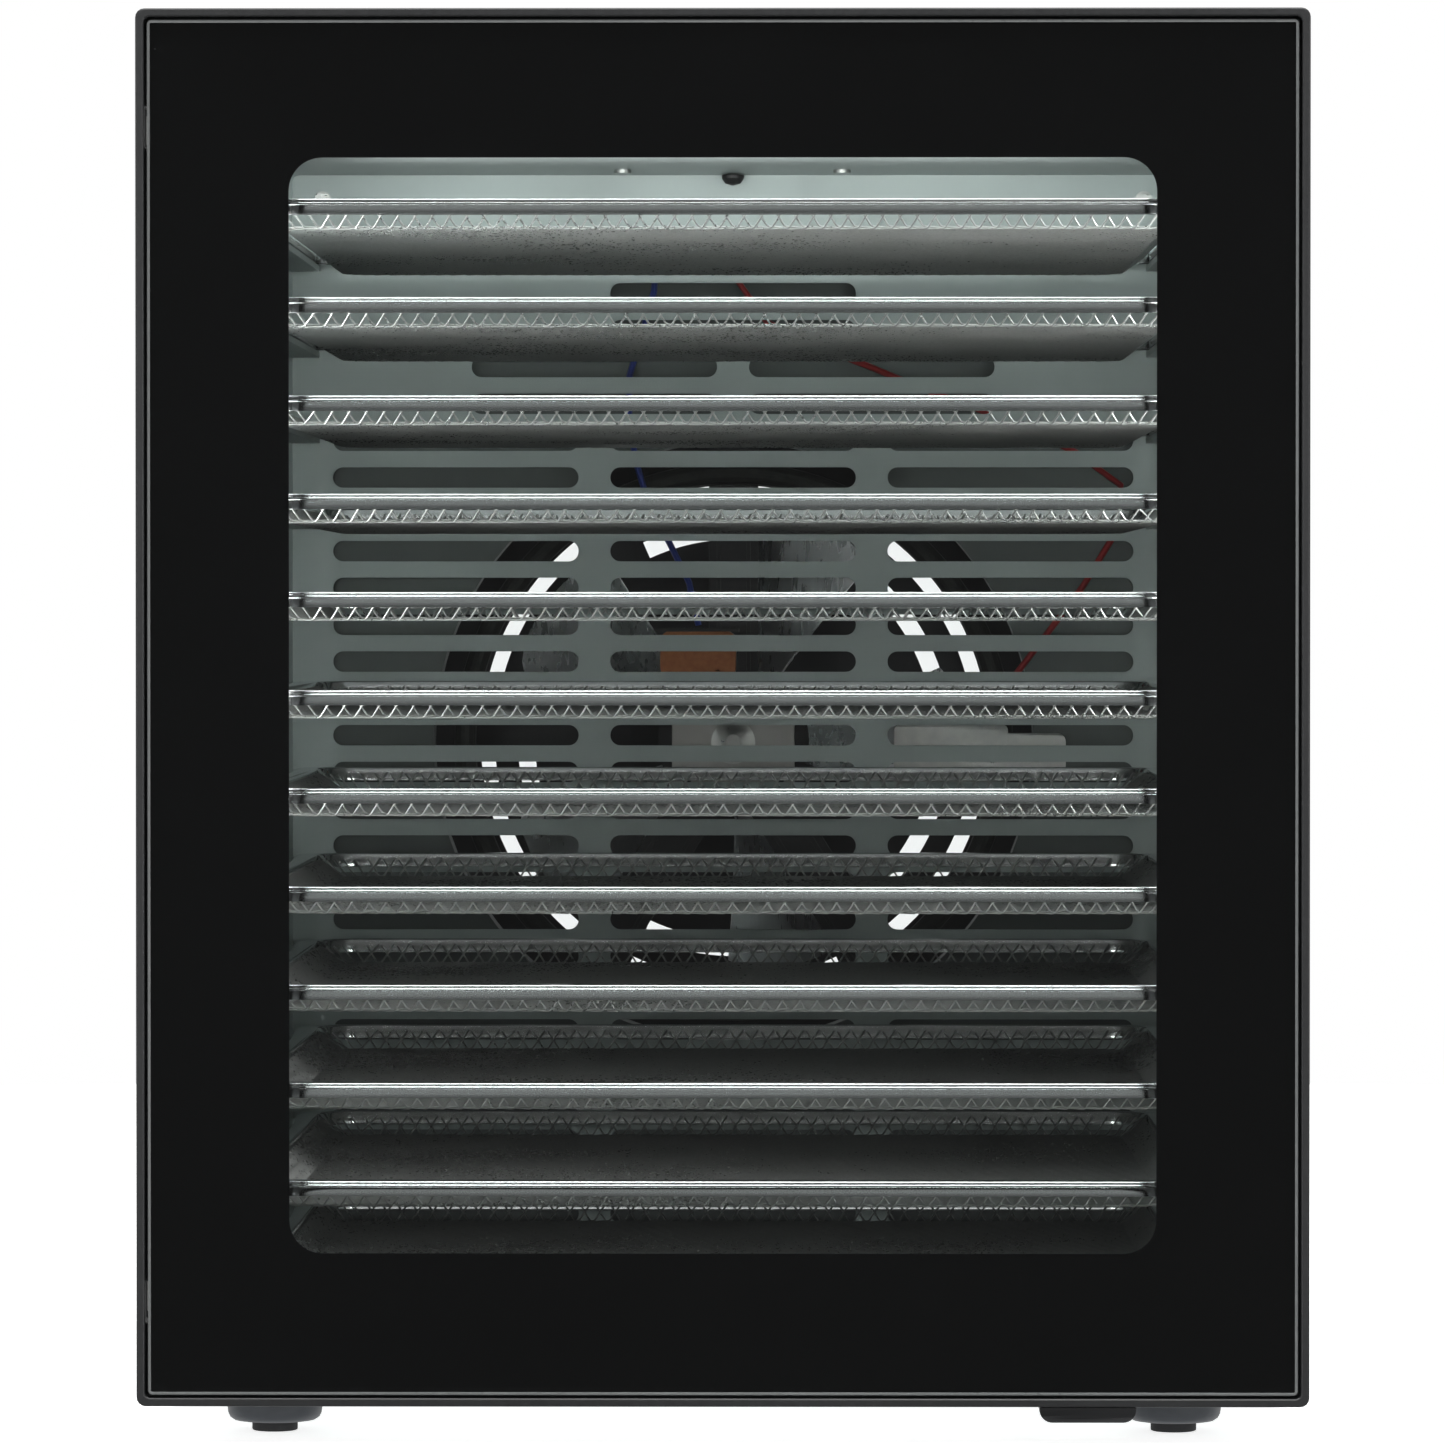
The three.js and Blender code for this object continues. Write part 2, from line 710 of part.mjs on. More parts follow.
function trayRim(top) {
  return alongZ(trayLoop(0, 0), top - RIM_BAND, top, [trayLoop(RIM_WIDTH, RIM_WIDTH)]);
}

// Shallow pan that stands for the wire mesh: its edge is inside the rim, its floor hangs below.
function trayPan(top) {
  const edge = RIM_WIDTH + GAP;
  const at = (loop, height) => loop.map((point) => [point.x, point.y, height]);
  const floor = top - PAN_DEPTH;
  return loft([
    at(trayLoop(edge + PAN_RUN_X, edge + PAN_RUN_Y), floor - PAN_SHEET),
    at(trayLoop(edge, edge), top - RIM_BAND),
    at(trayLoop(edge, edge), top - 1.5),
    at(trayLoop(edge + PAN_SHEET, edge + PAN_SHEET), top - 1.5),
    at(trayLoop(edge + PAN_SHEET, edge + PAN_SHEET), top - RIM_BAND),
    at(trayLoop(edge + PAN_RUN_X + 1, edge + PAN_RUN_Y + 1), floor),
  ].reverse());
}

// ---------------------------------------------------------------- assembly
const dehydrator = new THREE.Group();

const cabinet = new THREE.Group();
cabinet.add(
  part("cabinet_shell", cabinetShell(), charcoal()),
  part("base_pan", basePan(), galvanised()),
  part("cavity_liner", cavityLiner(), brushedSteel()),
  part("slotted_baffle", slottedBaffle(), galvanised()),
  part("rear_cover", rearCover(), charcoal()),
  part("fan_shroud", fanShroud(), galvanised()),
  part("heater_coil", heaterCoil(), darkSteel()),
  part("fan_motor", fanMotor(), brushedSteel()),
  part("motor_bracket", motorBracket(), darkSteel()),
  part("terminal_box", terminalBox(), brushedSteel()),
  part("wire_red", wire(RED_ROUTE, 1.1), finish(0xb01616, 0.5, 0)),
  part("wire_blue", wire(BLUE_ROUTE, 1.1), finish(0x1d3f9c, 0.5, 0)),
  part("temp_sensor", tempSensor(), darkSteel()),
  part("control_board", controlBoard(), finish(0x1c4a2c, 0.6, 0)),
  part("control_panel", controlPanel(), blackPlastic()),
  part("power_inlet", powerInlet(), blackPlastic()),
  part("catch_magnet", catchMagnet(), darkSteel()),
);
for (const [end, height] of [
  ["bottom", HINGE_HEIGHTS[0]],
  ["top", HINGE_HEIGHTS[1]],
]) {
  cabinet.add(part("hinge_pin_" + end, hingePin(height), brushedSteel()));
}
for (const [side, x] of [
  ["left", -FOOT_X],
  ["right", FOOT_X],
]) {
  for (const [end, y] of [
    ["front", FOOT_YS[0]],
    ["back", FOOT_YS[1]],
  ]) {
    const cup = part("foot_cup_" + end + "_" + side, footCup(), blackPlastic());
    cup.position.set(x, y, 0);
    const pad = cylinderAlongZ(0, 0, FOOT_PAD_RADIUS, 0, FOOT_PAD_HEIGHT - GAP, 16);
    const rubber = part("foot_pad_" + end + "_" + side, pad, blackRubber());
    rubber.position.set(x, y, 0);
    cabinet.add(cup, rubber);
  }
}
dehydrator.add(cabinet);

dehydrator.add(part("fan_rotor", fanRotor(), finish(0xc8cacc, 0.3, 1)));

const door = new THREE.Group();
door.add(
  part("door_frame", doorFrame(), charcoal()),
  part("door_glass", doorGlass(), finish(0x101214, 0.05, 0)),
  part("door_seal", doorSeal(), blackRubber()),
  part("door_pull", doorPull(), brushedSteel()),
);
dehydrator.add(door);

for (let tray = 0; tray < TRAY_COUNT; tray++) {
  const number = String(tray + 1).padStart(2, "0");
  const top = TOP_RIM_HEIGHT - TRAY_PITCH * tray;
  const oneTray = new THREE.Group();
  oneTray.add(
    part("tray_rim_" + number, trayRim(top), brushedSteel()),
    part("tray_mesh_" + number, trayPan(top), trayWire()),
  );
  dehydrator.add(oneTray);
}

["power", "mode", "minus", "plus"].forEach((name, index) => {
  const cap = part("button_" + name, button(), blackPlastic());
  cap.position.set(BUTTON_XS[index], BUTTON_Y, 0);
  dehydrator.add(cap);
});

export default dehydrator;
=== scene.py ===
# %% [markdown]
# # A food dehydrator: glass door, twelve wire trays, fan behind a slotted panel
# The imported frame holds every working part at its real size. This script gives those parts their looks.
# It starts with the frame and works in metres.

# %% Load the frame
import json
import math
import random

import bmesh
import bpy
from mathutils import Matrix, Vector
from mathutils.geometry import tessellate_polygon

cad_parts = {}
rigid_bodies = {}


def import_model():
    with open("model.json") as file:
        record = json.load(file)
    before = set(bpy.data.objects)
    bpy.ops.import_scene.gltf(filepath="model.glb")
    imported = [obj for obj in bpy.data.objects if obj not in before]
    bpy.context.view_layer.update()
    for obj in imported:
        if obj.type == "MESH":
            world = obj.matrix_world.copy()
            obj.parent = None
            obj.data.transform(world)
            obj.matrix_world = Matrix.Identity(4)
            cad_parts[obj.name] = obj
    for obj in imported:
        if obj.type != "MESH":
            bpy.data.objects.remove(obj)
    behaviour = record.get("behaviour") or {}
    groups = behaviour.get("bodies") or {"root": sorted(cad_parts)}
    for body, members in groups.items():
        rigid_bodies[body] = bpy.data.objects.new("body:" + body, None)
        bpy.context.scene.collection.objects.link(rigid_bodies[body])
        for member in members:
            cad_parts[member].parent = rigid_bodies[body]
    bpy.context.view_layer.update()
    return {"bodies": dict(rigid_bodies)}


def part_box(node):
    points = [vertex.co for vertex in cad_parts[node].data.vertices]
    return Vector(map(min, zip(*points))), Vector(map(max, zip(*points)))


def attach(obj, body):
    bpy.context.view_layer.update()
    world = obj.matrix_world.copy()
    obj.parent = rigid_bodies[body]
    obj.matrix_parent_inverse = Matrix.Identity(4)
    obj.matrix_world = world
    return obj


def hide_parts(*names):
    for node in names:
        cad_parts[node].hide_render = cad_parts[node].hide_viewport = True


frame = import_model()
MM = 0.001

# %% [markdown]
# ## Camera
# A long lens far from the door keeps its edges nearly parallel and its front square. The camera stands
# a little to the right of the middle and just above half the machine's height, and looks at the door.

# %% Camera
CAMERA_FROM_DOOR = 2.308
CAMERA_SIDE = 0.0222
CAMERA_HEIGHT = 0.2435
FRAME_WIDTH_AT_DOOR = 0.4243
LOOK_HEIGHT = 0.2128
SENSOR = 36.0

door_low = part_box("door_frame")[0]
camera_data = bpy.data.cameras.new("camera")
camera_data.sensor_width = SENSOR
camera_data.lens = SENSOR * CAMERA_FROM_DOOR / FRAME_WIDTH_AT_DOOR
camera = bpy.data.objects.new("camera", camera_data)
camera.location = (CAMERA_SIDE, door_low.y - CAMERA_FROM_DOOR, CAMERA_HEIGHT)
look_at = Vector((0, door_low.y, LOOK_HEIGHT))
camera.rotation_euler = (look_at - camera.location).to_track_quat("-Z", "Y").to_euler()
bpy.context.scene.collection.objects.link(camera)
bpy.context.scene.camera = camera
print("lens mm:", round(camera_data.lens, 1))

# %% [markdown]
# ## Floor and light
# The floor is a pale disc that doesn't mirror in the black glass. The world is white behind the machine and
# dim in front of it, dimmest straight ahead, so the glass stays black and the vents in the back show white.
# Soft boxes hang above and stand in front at both sides, and small hidden ones fill the cavity.

# %% Floor and the soft box helper
FLOOR_RADIUS = 1.6
bpy.context.scene.view_settings.view_transform = "Standard"


def new_object(name, mesh):
    made = bpy.data.objects.new(name, mesh)
    bpy.context.scene.collection.objects.link(made)
    return made


def add_soft_box(name, place, aim, size, power):
    data = bpy.data.lights.new(name, "AREA")
    data.shape = "RECTANGLE"
    data.size, data.size_y = size
    data.energy = power
    made = new_object(name, data)
    made.location = place
    made.rotation_euler = (Vector(aim) - Vector(place)).to_track_quat("-Z", "Y").to_euler()
    return made


floor_bm = bmesh.new()
bmesh.ops.create_circle(floor_bm, cap_ends=True, radius=FLOOR_RADIUS, segments=96)
floor_mesh = bpy.data.meshes.new("floor")
floor_bm.to_mesh(floor_mesh)
floor_bm.free()
floor = new_object("floor", floor_mesh)
print("floor faces:", len(floor_mesh.polygons))

# %% [markdown]
# The world's strength depends only on direction: two ramps along Y are added, and the larger of that and the
# camera's own ray gives the white behind.

# %% World
SKY_BEHIND = {"From Min": -0.1, "From Max": 0.5, "To Min": 0.0, "To Max": 0.75}
SKY_AHEAD = {"From Min": -0.985, "From Max": -0.92, "To Min": 0.09, "To Max": 0.25}
world = bpy.data.worlds.new("studio")
bpy.context.scene.world = world
world.use_nodes = True
sky = world.node_tree
sky.nodes.clear()
sky_out = sky.nodes.new("ShaderNodeOutputWorld")
sky_light = sky.nodes.new("ShaderNodeBackground")
sky_place = sky.nodes.new("ShaderNodeTexCoord")
sky_axes = sky.nodes.new("ShaderNodeSeparateXYZ")
sky_sum = sky.nodes.new("ShaderNodeMath")
sky_ray = sky.nodes.new("ShaderNodeLightPath")
sky_pick = sky.nodes.new("ShaderNodeMath")
sky_pick.operation = "MAXIMUM"
sky_light.inputs["Color"].default_value = (1, 1, 1, 1)
sky.links.new(sky_place.outputs["Generated"], sky_axes.inputs[0])
for index, limits in enumerate((SKY_BEHIND, SKY_AHEAD)):
    ramp = sky.nodes.new("ShaderNodeMapRange")
    for label, value in limits.items():
        ramp.inputs[label].default_value = value
    sky.links.new(sky_axes.outputs["Y"], ramp.inputs["Value"])
    sky.links.new(ramp.outputs[0], sky_sum.inputs[index])
sky.links.new(sky_sum.outputs[0], sky_pick.inputs[0])
sky.links.new(sky_ray.outputs["Is Camera Ray"], sky_pick.inputs[1])
sky.links.new(sky_pick.outputs[0], sky_light.inputs["Strength"])
sky.links.new(sky_light.outputs[0], sky_out.inputs["Surface"])
print("world nodes:", len(sky.nodes))

# %% [markdown]
# The boxes outside light the frame and the rims. Those in the cavity stand for the light that its bright
# walls throw about, and they are hidden from the camera and from rays through the glass.

# %% Soft boxes
add_soft_box("top box", (0, -0.1, 1.7), (0, 0, 0), (1.6, 1.6), 34)
add_soft_box("left box", (-1.05, -1.85, 0.4), (0, 0, 0.2), (0.5, 1.0), 8)
add_soft_box("right box", (1.05, -1.85, 0.4), (0, 0, 0.2), (0.5, 1.0), 11)
add_soft_box("front box", (0, -1.7, 2.3), (0, 0, 0.2), (1.4, 1.0), 42)
for cavity_box in (
    add_soft_box("cavity box", (0, -0.12, 0.389), (0, 0.12, 0.1), (0.26, 0.1), 0.26),
    add_soft_box("ceiling box", (0, -0.05, 0.371), (0, -0.05, 0.5), (0.24, 0.24), 0.5),
    add_soft_box("low box", (0, -0.05, 0.0225), (0, 0.05, 0.3), (0.26, 0.2), 0.16),
    add_soft_box("left strip", (-0.139, -0.2012, 0.21), (0.02, 0.15, 0.19), (0.008, 0.35), 0.75),
    add_soft_box("right strip", (0.139, -0.2012, 0.21), (-0.02, 0.15, 0.19), (0.008, 0.35), 0.75),
    add_soft_box("rim strip", (0, -0.2012, 0.392), (0, -0.19, 0.3), (0.26, 0.006), 0.6),
):
    cavity_box.visible_camera = False
    cavity_box.visible_transmission = False
print("lamps:", len(bpy.data.lights))

# %% [markdown]
# ## Helpers for shapes
# Sheet metal and moulded plates are outlines given a thickness, with a small bevel that catches light.
# Round pieces are turned from a profile, and rims are a profile carried round an outline.
# Every helper puts the piece's place into its mesh, so that each object stays at the origin.

# %% Outlines
def rounded(left, right, low, high, radius, steps=8):
    corners = (
        (right - radius, high - radius),
        (left + radius, high - radius),
        (left + radius, low + radius),
        (right - radius, low + radius),
    )
    points = []
    for corner, (a, b) in enumerate(corners):
        for step in range(steps + 1):
            angle = math.pi / 2 * (corner + step / steps)
            points.append((a + radius * math.cos(angle), b + radius * math.sin(angle)))
    return points


def in_mm(points):
    """Points whose numbers are millimetres, in metres."""
    return [tuple(number * MM for number in point) for point in points]


def circle(a, b, radius, sides=48):
    angles = [2 * math.pi * side / sides for side in range(sides)]
    return [(a + radius * math.cos(t), b + radius * math.sin(t)) for t in angles]


def arc_slot(a, b, inner, outer, start, end, steps=16):
    turns = [start + (end - start) * step / steps for step in range(steps + 1)]
    outside = [(a + outer * math.cos(t), b + outer * math.sin(t)) for t in turns]
    inside = [(a + inner * math.cos(t), b + inner * math.sin(t)) for t in reversed(turns)]
    return outside + inside


print("points in a circle:", len(circle(0, 0, 1)))

# %% [markdown]
# An outline is flat, with two numbers for each point. *place_along* adds the depth along an axis. *bevelled*
# gives sharp edges a small round that catches light. *closed_mesh* merges doubles and turns faces outwards.

# %% Depth, bevels and closed meshes
def place_along(axis):
    """How an outline's (a, b) and a depth become a point: depth runs along the named axis."""
    return {
        "Y": lambda a, b, depth: Vector((a, depth, b)),
        "Z": lambda a, b, depth: Vector((a, b, depth)),
        "X": lambda a, b, depth: Vector((depth, a, b)),
    }[axis]


def bevelled(piece, width, segments=2, angle=35):
    if width:
        bevel = piece.modifiers.new("bevel", "BEVEL")
        bevel.width = width
        bevel.segments = segments
        bevel.limit_method = "ANGLE"
        bevel.angle_limit = math.radians(angle)
        bevel.harden_normals = True
    piece.data.shade_smooth()
    piece.data.set_sharp_from_angle(angle=math.radians(angle))
    return piece


def closed_mesh(name, verts, faces):
    """A mesh with doubles merged and its faces turned outwards."""
    bm = bmesh.new()
    made = [bm.verts.new(v) for v in verts]
    for face in faces:
        bm.faces.new([made[i] for i in face])
    bmesh.ops.remove_doubles(bm, verts=bm.verts[:], dist=1e-6)
    bmesh.ops.recalc_face_normals(bm, faces=bm.faces[:])
    mesh = bpy.data.meshes.new(name)
    bm.to_mesh(mesh)
    bm.free()
    return mesh


print("sheets get a bevel unless it is 0")

# %% [markdown]
# A plate is a flat outline with its holes, filled and pulled to a thickness along one axis. That is how
# sheet and moulded covers are made, and the small bevel at its edges is what the eye reads as thickness.

# %% Plates
def plate(name, outlines, low, high, axis="Y", bevel=0.0003, segments=2):
    """The first outline with the others cut out of it, from low to high along an axis."""
    flat = [point for outline in outlines for point in outline]
    triangles = tessellate_polygon([[Vector((a, b, 0)) for a, b in outline] for outline in outlines])
    place = place_along(axis)
    count = len(flat)
    verts = [place(a, b, depth) for depth in (low, high) for a, b in flat]
    faces = [tuple(t) for t in triangles] + [tuple(i + count for i in reversed(t)) for t in triangles]
    first = 0
    for outline in outlines:
        size = len(outline)
        for i in range(size):
            a, b = first + i, first + (i + 1) % size
            faces.append((a, b, b + count, a + count))
        first += size
    return bevelled(new_object(name, closed_mesh(name, verts, faces)), bevel, segments)


def joined_loops(name, loops, closed_profile):
    """Loops of equal length joined one to the next; open ends get a flat face."""
    size = len(loops[0])
    verts = [point for loop in loops for point in loop]
    faces = []
    rows = len(loops) if closed_profile else len(loops) - 1
    for row in range(rows):
        after = (row + 1) % len(loops)
        for i in range(size):
            j = (i + 1) % size
            faces.append((row * size + i, row * size + j, after * size + j, after * size + i))
    if not closed_profile:
        faces.append(tuple(range(size)))
        faces.append(tuple(range((len(loops) - 1) * size, len(loops) * size)))
    return closed_mesh(name, verts, faces)


print("a plate is an outline with holes, pulled to a thickness")

# %% [markdown]
# A turned piece is one profile carried round an axis, as on a lathe. A swept rim is one profile carried
# round an outline, as a bent strip is. Both join each loop of points to the next.

# %% Turned pieces and swept rims
def turned(name, profile, centre, axis="Z", steps=48, bevel=0.0, angle=35):
    """A profile of (radius, depth) turned about an axis through a centre (a, b)."""
    place = place_along(axis)
    loops = []
    for radius, depth in profile:
        loops.append([place(a, b, depth) for a, b in circle(*centre, max(radius, 1e-5), steps)])
    return bevelled(new_object(name, joined_loops(name, loops, False)), bevel, 2, angle)


def swept(name, outline, profile, axis="Z", angle=35):
    """A closed profile of (inset, depth) carried round outline(inset)."""
    place = place_along(axis)
    loops = [[place(a, b, depth) for a, b in outline(inset)] for inset, depth in profile]
    return bevelled(new_object(name, joined_loops(name, loops, True)), 0, 2, angle)


print("a turned piece and a swept rim are loops of points joined in order")

# %% [markdown]
# *joined* makes several pieces one mesh. *finer_copy* takes a CAD part, removes its triangle seams and rounds
# its edges. *wear* gives a piece its material and body. *restyle* only changes a CAD part's material.

# %% Joining, copying and dressing
def joined(name, pieces):
    """Several pieces with their bevels applied, as one plain piece."""
    bm = bmesh.new()
    graph = bpy.context.evaluated_depsgraph_get()
    for piece in pieces:
        mesh = bpy.data.meshes.new_from_object(piece.evaluated_get(graph), depsgraph=graph)
        bm.from_mesh(mesh)
        bpy.data.meshes.remove(mesh)
        bpy.data.objects.remove(piece)
    mesh = bpy.data.meshes.new(name)
    bm.to_mesh(mesh)
    bm.free()
    made = new_object(name, mesh)
    mesh.set_sharp_from_angle(angle=math.radians(14))
    return made


def finer_copy(node, width, segments=3, angle=30):
    """The CAD part itself, cleaned of its triangle seams and given soft edges."""
    bm = bmesh.new()
    bm.from_mesh(bpy.data.objects[node].data)
    bmesh.ops.remove_doubles(bm, verts=bm.verts[:], dist=1e-6)
    flat = math.radians(1)
    bmesh.ops.dissolve_limit(bm, angle_limit=flat, verts=bm.verts[:], edges=bm.edges[:])
    mesh = bpy.data.meshes.new(node + "_fine")
    bm.to_mesh(mesh)
    bm.free()
    return bevelled(new_object(node + "_fine", mesh), width, segments, angle)


def wear(piece, material, body, slot, *nodes):
    """Material and body for a new piece, and the CAD nodes that it stands for; the slot is not used."""
    piece.data.materials.clear()
    piece.data.materials.append(material)
    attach(piece, body)
    if nodes:
        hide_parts(*nodes)
    return piece


def restyle(node, material):
    """A CAD part that keeps its shape gets a finer material."""
    part = bpy.data.objects[node]
    part.data.materials.clear()
    part.data.materials.append(material)


print("helpers ready: joined, finer_copy, wear, restyle")

# %% [markdown]
# ## Finishes
# Two shader groups do the work. *surface_variation* mottles a colour and a roughness and adds a fine bump,
# as paint, plastic and rubber have. *drawn_lines* stretches its noise along one direction, as rolling and
# brushing leave on metal. Each material holds its own Principled shader and gives a group its own values.

# %% Shader groups
def shader_group(name, inputs, outputs):
    group = bpy.data.node_groups.new(name, "ShaderNodeTree")
    for label, kind, value in inputs:
        socket = group.interface.new_socket(label, in_out="INPUT", socket_type=kind)
        if value is not None:
            socket.default_value = value
    for label, kind in outputs:
        group.interface.new_socket(label, in_out="OUTPUT", socket_type=kind)
    return group, group.nodes.new("NodeGroupInput"), group.nodes.new("NodeGroupOutput")


FLOAT, COLOUR, VECTOR = "NodeSocketFloat", "NodeSocketColor", "NodeSocketVector"
SURFACE_INPUTS = [
    ("Place", VECTOR, None),
    ("Colour", COLOUR, (0.5, 0.5, 0.5, 1)),
    ("Second Colour", COLOUR, (0.4, 0.4, 0.4, 1)),
    ("Scale", FLOAT, 100.0),
    ("Broad Scale", FLOAT, 8.0),
    ("Smooth", FLOAT, 0.3),
    ("Rough", FLOAT, 0.5),
    ("Bump", FLOAT, 0.1),
]
SURFACE_OUTPUTS = [("Colour", COLOUR), ("Roughness", FLOAT), ("Normal", VECTOR)]


print("inputs of a surface group:", len(SURFACE_INPUTS))

# %% [markdown]
# Both groups mix a fine and a broad noise. The mix picks a colour and a roughness between two values, and the
# fine noise alone gives the bump. The second group first stretches the place that the fine noise reads.

# %% Surface variation and drawn lines
def fill_surface_group(name, stretch_input):
    inputs = list(SURFACE_INPUTS)
    if stretch_input:
        inputs.append(("Stretch", VECTOR, (1, 1, 0.02)))
    group, source, result = shader_group(name, inputs, SURFACE_OUTPUTS)
    nodes, link = group.nodes, group.links.new
    place = source.outputs["Place"]
    if stretch_input:
        stretch = nodes.new("ShaderNodeVectorMath")
        stretch.operation = "MULTIPLY"
        link(place, stretch.inputs[0])
        link(source.outputs["Stretch"], stretch.inputs[1])
        place = stretch.outputs[0]
    fine = nodes.new("ShaderNodeTexNoise")
    broad = nodes.new("ShaderNodeTexNoise")
    fine.inputs["Detail"].default_value = 4
    broad.inputs["Detail"].default_value = 3
    link(place, fine.inputs["Vector"])
    link(source.outputs["Place"], broad.inputs["Vector"])
    link(source.outputs["Scale"], fine.inputs["Scale"])
    link(source.outputs["Broad Scale"], broad.inputs["Scale"])
    share = nodes.new("ShaderNodeMix")
    link(fine.outputs["Fac"], share.inputs["A"])
    link(broad.outputs["Fac"], share.inputs["B"])
    spread = nodes.new("ShaderNodeMapRange")
    spread.inputs["From Min"].default_value = 0.3
    spread.inputs["From Max"].default_value = 0.7
    link(share.outputs["Result"], spread.inputs["Value"])
    tint = nodes.new("ShaderNodeMix")
    tint.data_type = "RGBA"
    link(spread.outputs[0], tint.inputs["Factor"])
    link(source.outputs["Colour"], tint.inputs["A"])
    link(source.outputs["Second Colour"], tint.inputs["B"])
    rough = nodes.new("ShaderNodeMix")
    link(spread.outputs[0], rough.inputs["Factor"])
    link(source.outputs["Smooth"], rough.inputs["A"])
    link(source.outputs["Rough"], rough.inputs["B"])
    bump = nodes.new("ShaderNodeBump")
    bump.inputs["Distance"].default_value = 0.0002
    link(source.outputs["Bump"], bump.inputs["Strength"])
    link(fine.outputs["Fac"], bump.inputs["Height"])
    link(tint.outputs["Result"], result.inputs["Colour"])
    link(rough.outputs["Result"], result.inputs["Roughness"])
    link(bump.outputs[0], result.inputs["Normal"])
    return group


surface_variation = fill_surface_group("surface_variation", False)
drawn_lines = fill_surface_group("drawn_lines", True)
print("shader groups:", surface_variation.name, drawn_lines.name)


# %% [markdown]
# Every material is a Principled shader fed by one of the two groups. Metals with a grain use the second.

# %% A material from a group
def shade(name, colour, second, scale, smooth, rough, bump, metallic=0.0, stretch=None, broad=8.0, coat=0.0):
    material = bpy.data.materials.new(name)
    material.use_nodes = True
    tree = material.node_tree
    shader = tree.nodes["Principled BSDF"]
    shader.inputs["Metallic"].default_value = metallic
    shader.inputs["Coat Weight"].default_value = coat
    group = tree.nodes.new("ShaderNodeGroup")
    group.node_tree = drawn_lines if stretch else surface_variation
    place = tree.nodes.new("ShaderNodeTexCoord")
    tree.links.new(place.outputs["Object"], group.inputs["Place"])
    values = {
        "Colour": (*colour, 1),
        "Second Colour": (*second, 1),
        "Scale": scale,
        "Broad Scale": broad,
        "Smooth": smooth,
        "Rough": rough,
        "Bump": bump,
    }
    if stretch:
        values["Stretch"] = stretch
    for label, value in values.items():
        group.inputs[label].default_value = value
    tree.links.new(group.outputs["Colour"], shader.inputs["Base Color"])
    tree.links.new(group.outputs["Roughness"], shader.inputs["Roughness"])
    tree.links.new(group.outputs["Normal"], shader.inputs["Normal"])
    return material


print("a material needs a name, two colours, noise size, roughness range and bump")

# %% [markdown]
# Rolled and drawn metal has its grain along one axis. Painted sheet, moulded plastic and rubber have none.
# The steel behind the baffle is the galvanised steel made darker: painted shade for the shadow it stands in,
# which the cavity's lamps would otherwise light.

# %% Materials of the machine
ALONG_X = (0.03, 1, 1)
ALONG_Y = (1, 0.03, 1)
ALONG_Z = (1, 1, 0.03)

door_paint = shade("door_paint", (0.007, 0.0075, 0.008), (0.01, 0.0105, 0.0115), 900, 0.36, 0.5, 0.1)
case_paint = shade("case_paint", (0.012, 0.0125, 0.0135), (0.018, 0.0185, 0.02), 700, 0.45, 0.62, 0.35)
border_print = shade("border_print", (0.001, 0.001, 0.0011), (0.0016, 0.0016, 0.0017), 60, 0.5, 0.6, 0.0)
galvanised = shade(
    "galvanised", (0.38, 0.435, 0.42), (0.46, 0.515, 0.5), 45, 0.42, 0.58, 0.05, 0.75, broad=18
)
liner_steel = shade(
    "liner_steel", (0.36, 0.4, 0.395), (0.46, 0.5, 0.49), 500, 0.34, 0.48, 0.05, 0.9, ALONG_Y
)
rim_steel = shade("rim_steel", (0.7, 0.71, 0.71), (0.76, 0.77, 0.77), 900, 0.1, 0.12, 0.0, 1.0, ALONG_X)
wire_steel = shade("wire_steel", (0.4, 0.4, 0.39), (0.58, 0.58, 0.57), 700, 0.22, 0.4, 0.05, 1.0)
polished_steel = shade(
    "polished_steel", (0.55, 0.56, 0.57), (0.66, 0.67, 0.68), 900, 0.1, 0.2, 0.05, 1.0, ALONG_X
)
pull_steel = shade(
    "pull_steel", (0.14, 0.143, 0.148), (0.18, 0.183, 0.19), 900, 0.16, 0.26, 0.05, 1.0, ALONG_X
)
# Galvanised steel darkened: painted shade for the shroud behind the baffle.
painted_shade_steel = shade(
    "painted_shade_steel", (0.1, 0.116, 0.112), (0.14, 0.158, 0.153), 45, 0.42, 0.58, 0.05, 0.75, broad=18
)
zinc = shade("zinc", (0.5, 0.51, 0.5), (0.66, 0.66, 0.62), 300, 0.25, 0.42, 0.08, 1.0, broad=40)
heater_metal = shade(
    "heater_metal", (0.018, 0.021, 0.019), (0.05, 0.052, 0.046), 260, 0.4, 0.7, 0.3, 0.6, broad=30
)
fan_metal = shade("fan_metal", (0.7, 0.71, 0.72), (0.84, 0.85, 0.86), 600, 0.2, 0.36, 0.06, 1.0, ALONG_Z)
black_metal = shade("black_metal", (0.008, 0.008, 0.009), (0.016, 0.016, 0.017), 500, 0.4, 0.56, 0.2)
lamination = shade(
    "lamination", (0.34, 0.335, 0.32), (0.5, 0.49, 0.46), 900, 0.35, 0.5, 0.5, 0.9, (0.02, 1, 0.02)
)
copper = shade("copper", (0.28, 0.1, 0.045), (0.42, 0.17, 0.07), 500, 0.25, 0.4, 0.2, 0.9)
rubber = shade("rubber", (0.02, 0.0205, 0.022), (0.03, 0.031, 0.033), 600, 0.7, 0.85, 0.3)
foot_plastic = shade("foot_plastic", (0.045, 0.05, 0.058), (0.058, 0.064, 0.073), 500, 0.42, 0.55, 0.15)
black_plastic = shade("black_plastic", (0.01, 0.01, 0.0105), (0.016, 0.016, 0.017), 700, 0.4, 0.55, 0.25)
panel_gloss = shade(
    "panel_gloss", (0.006, 0.006, 0.0065), (0.009, 0.009, 0.0095), 40, 0.08, 0.16, 0.01, coat=0.4
)
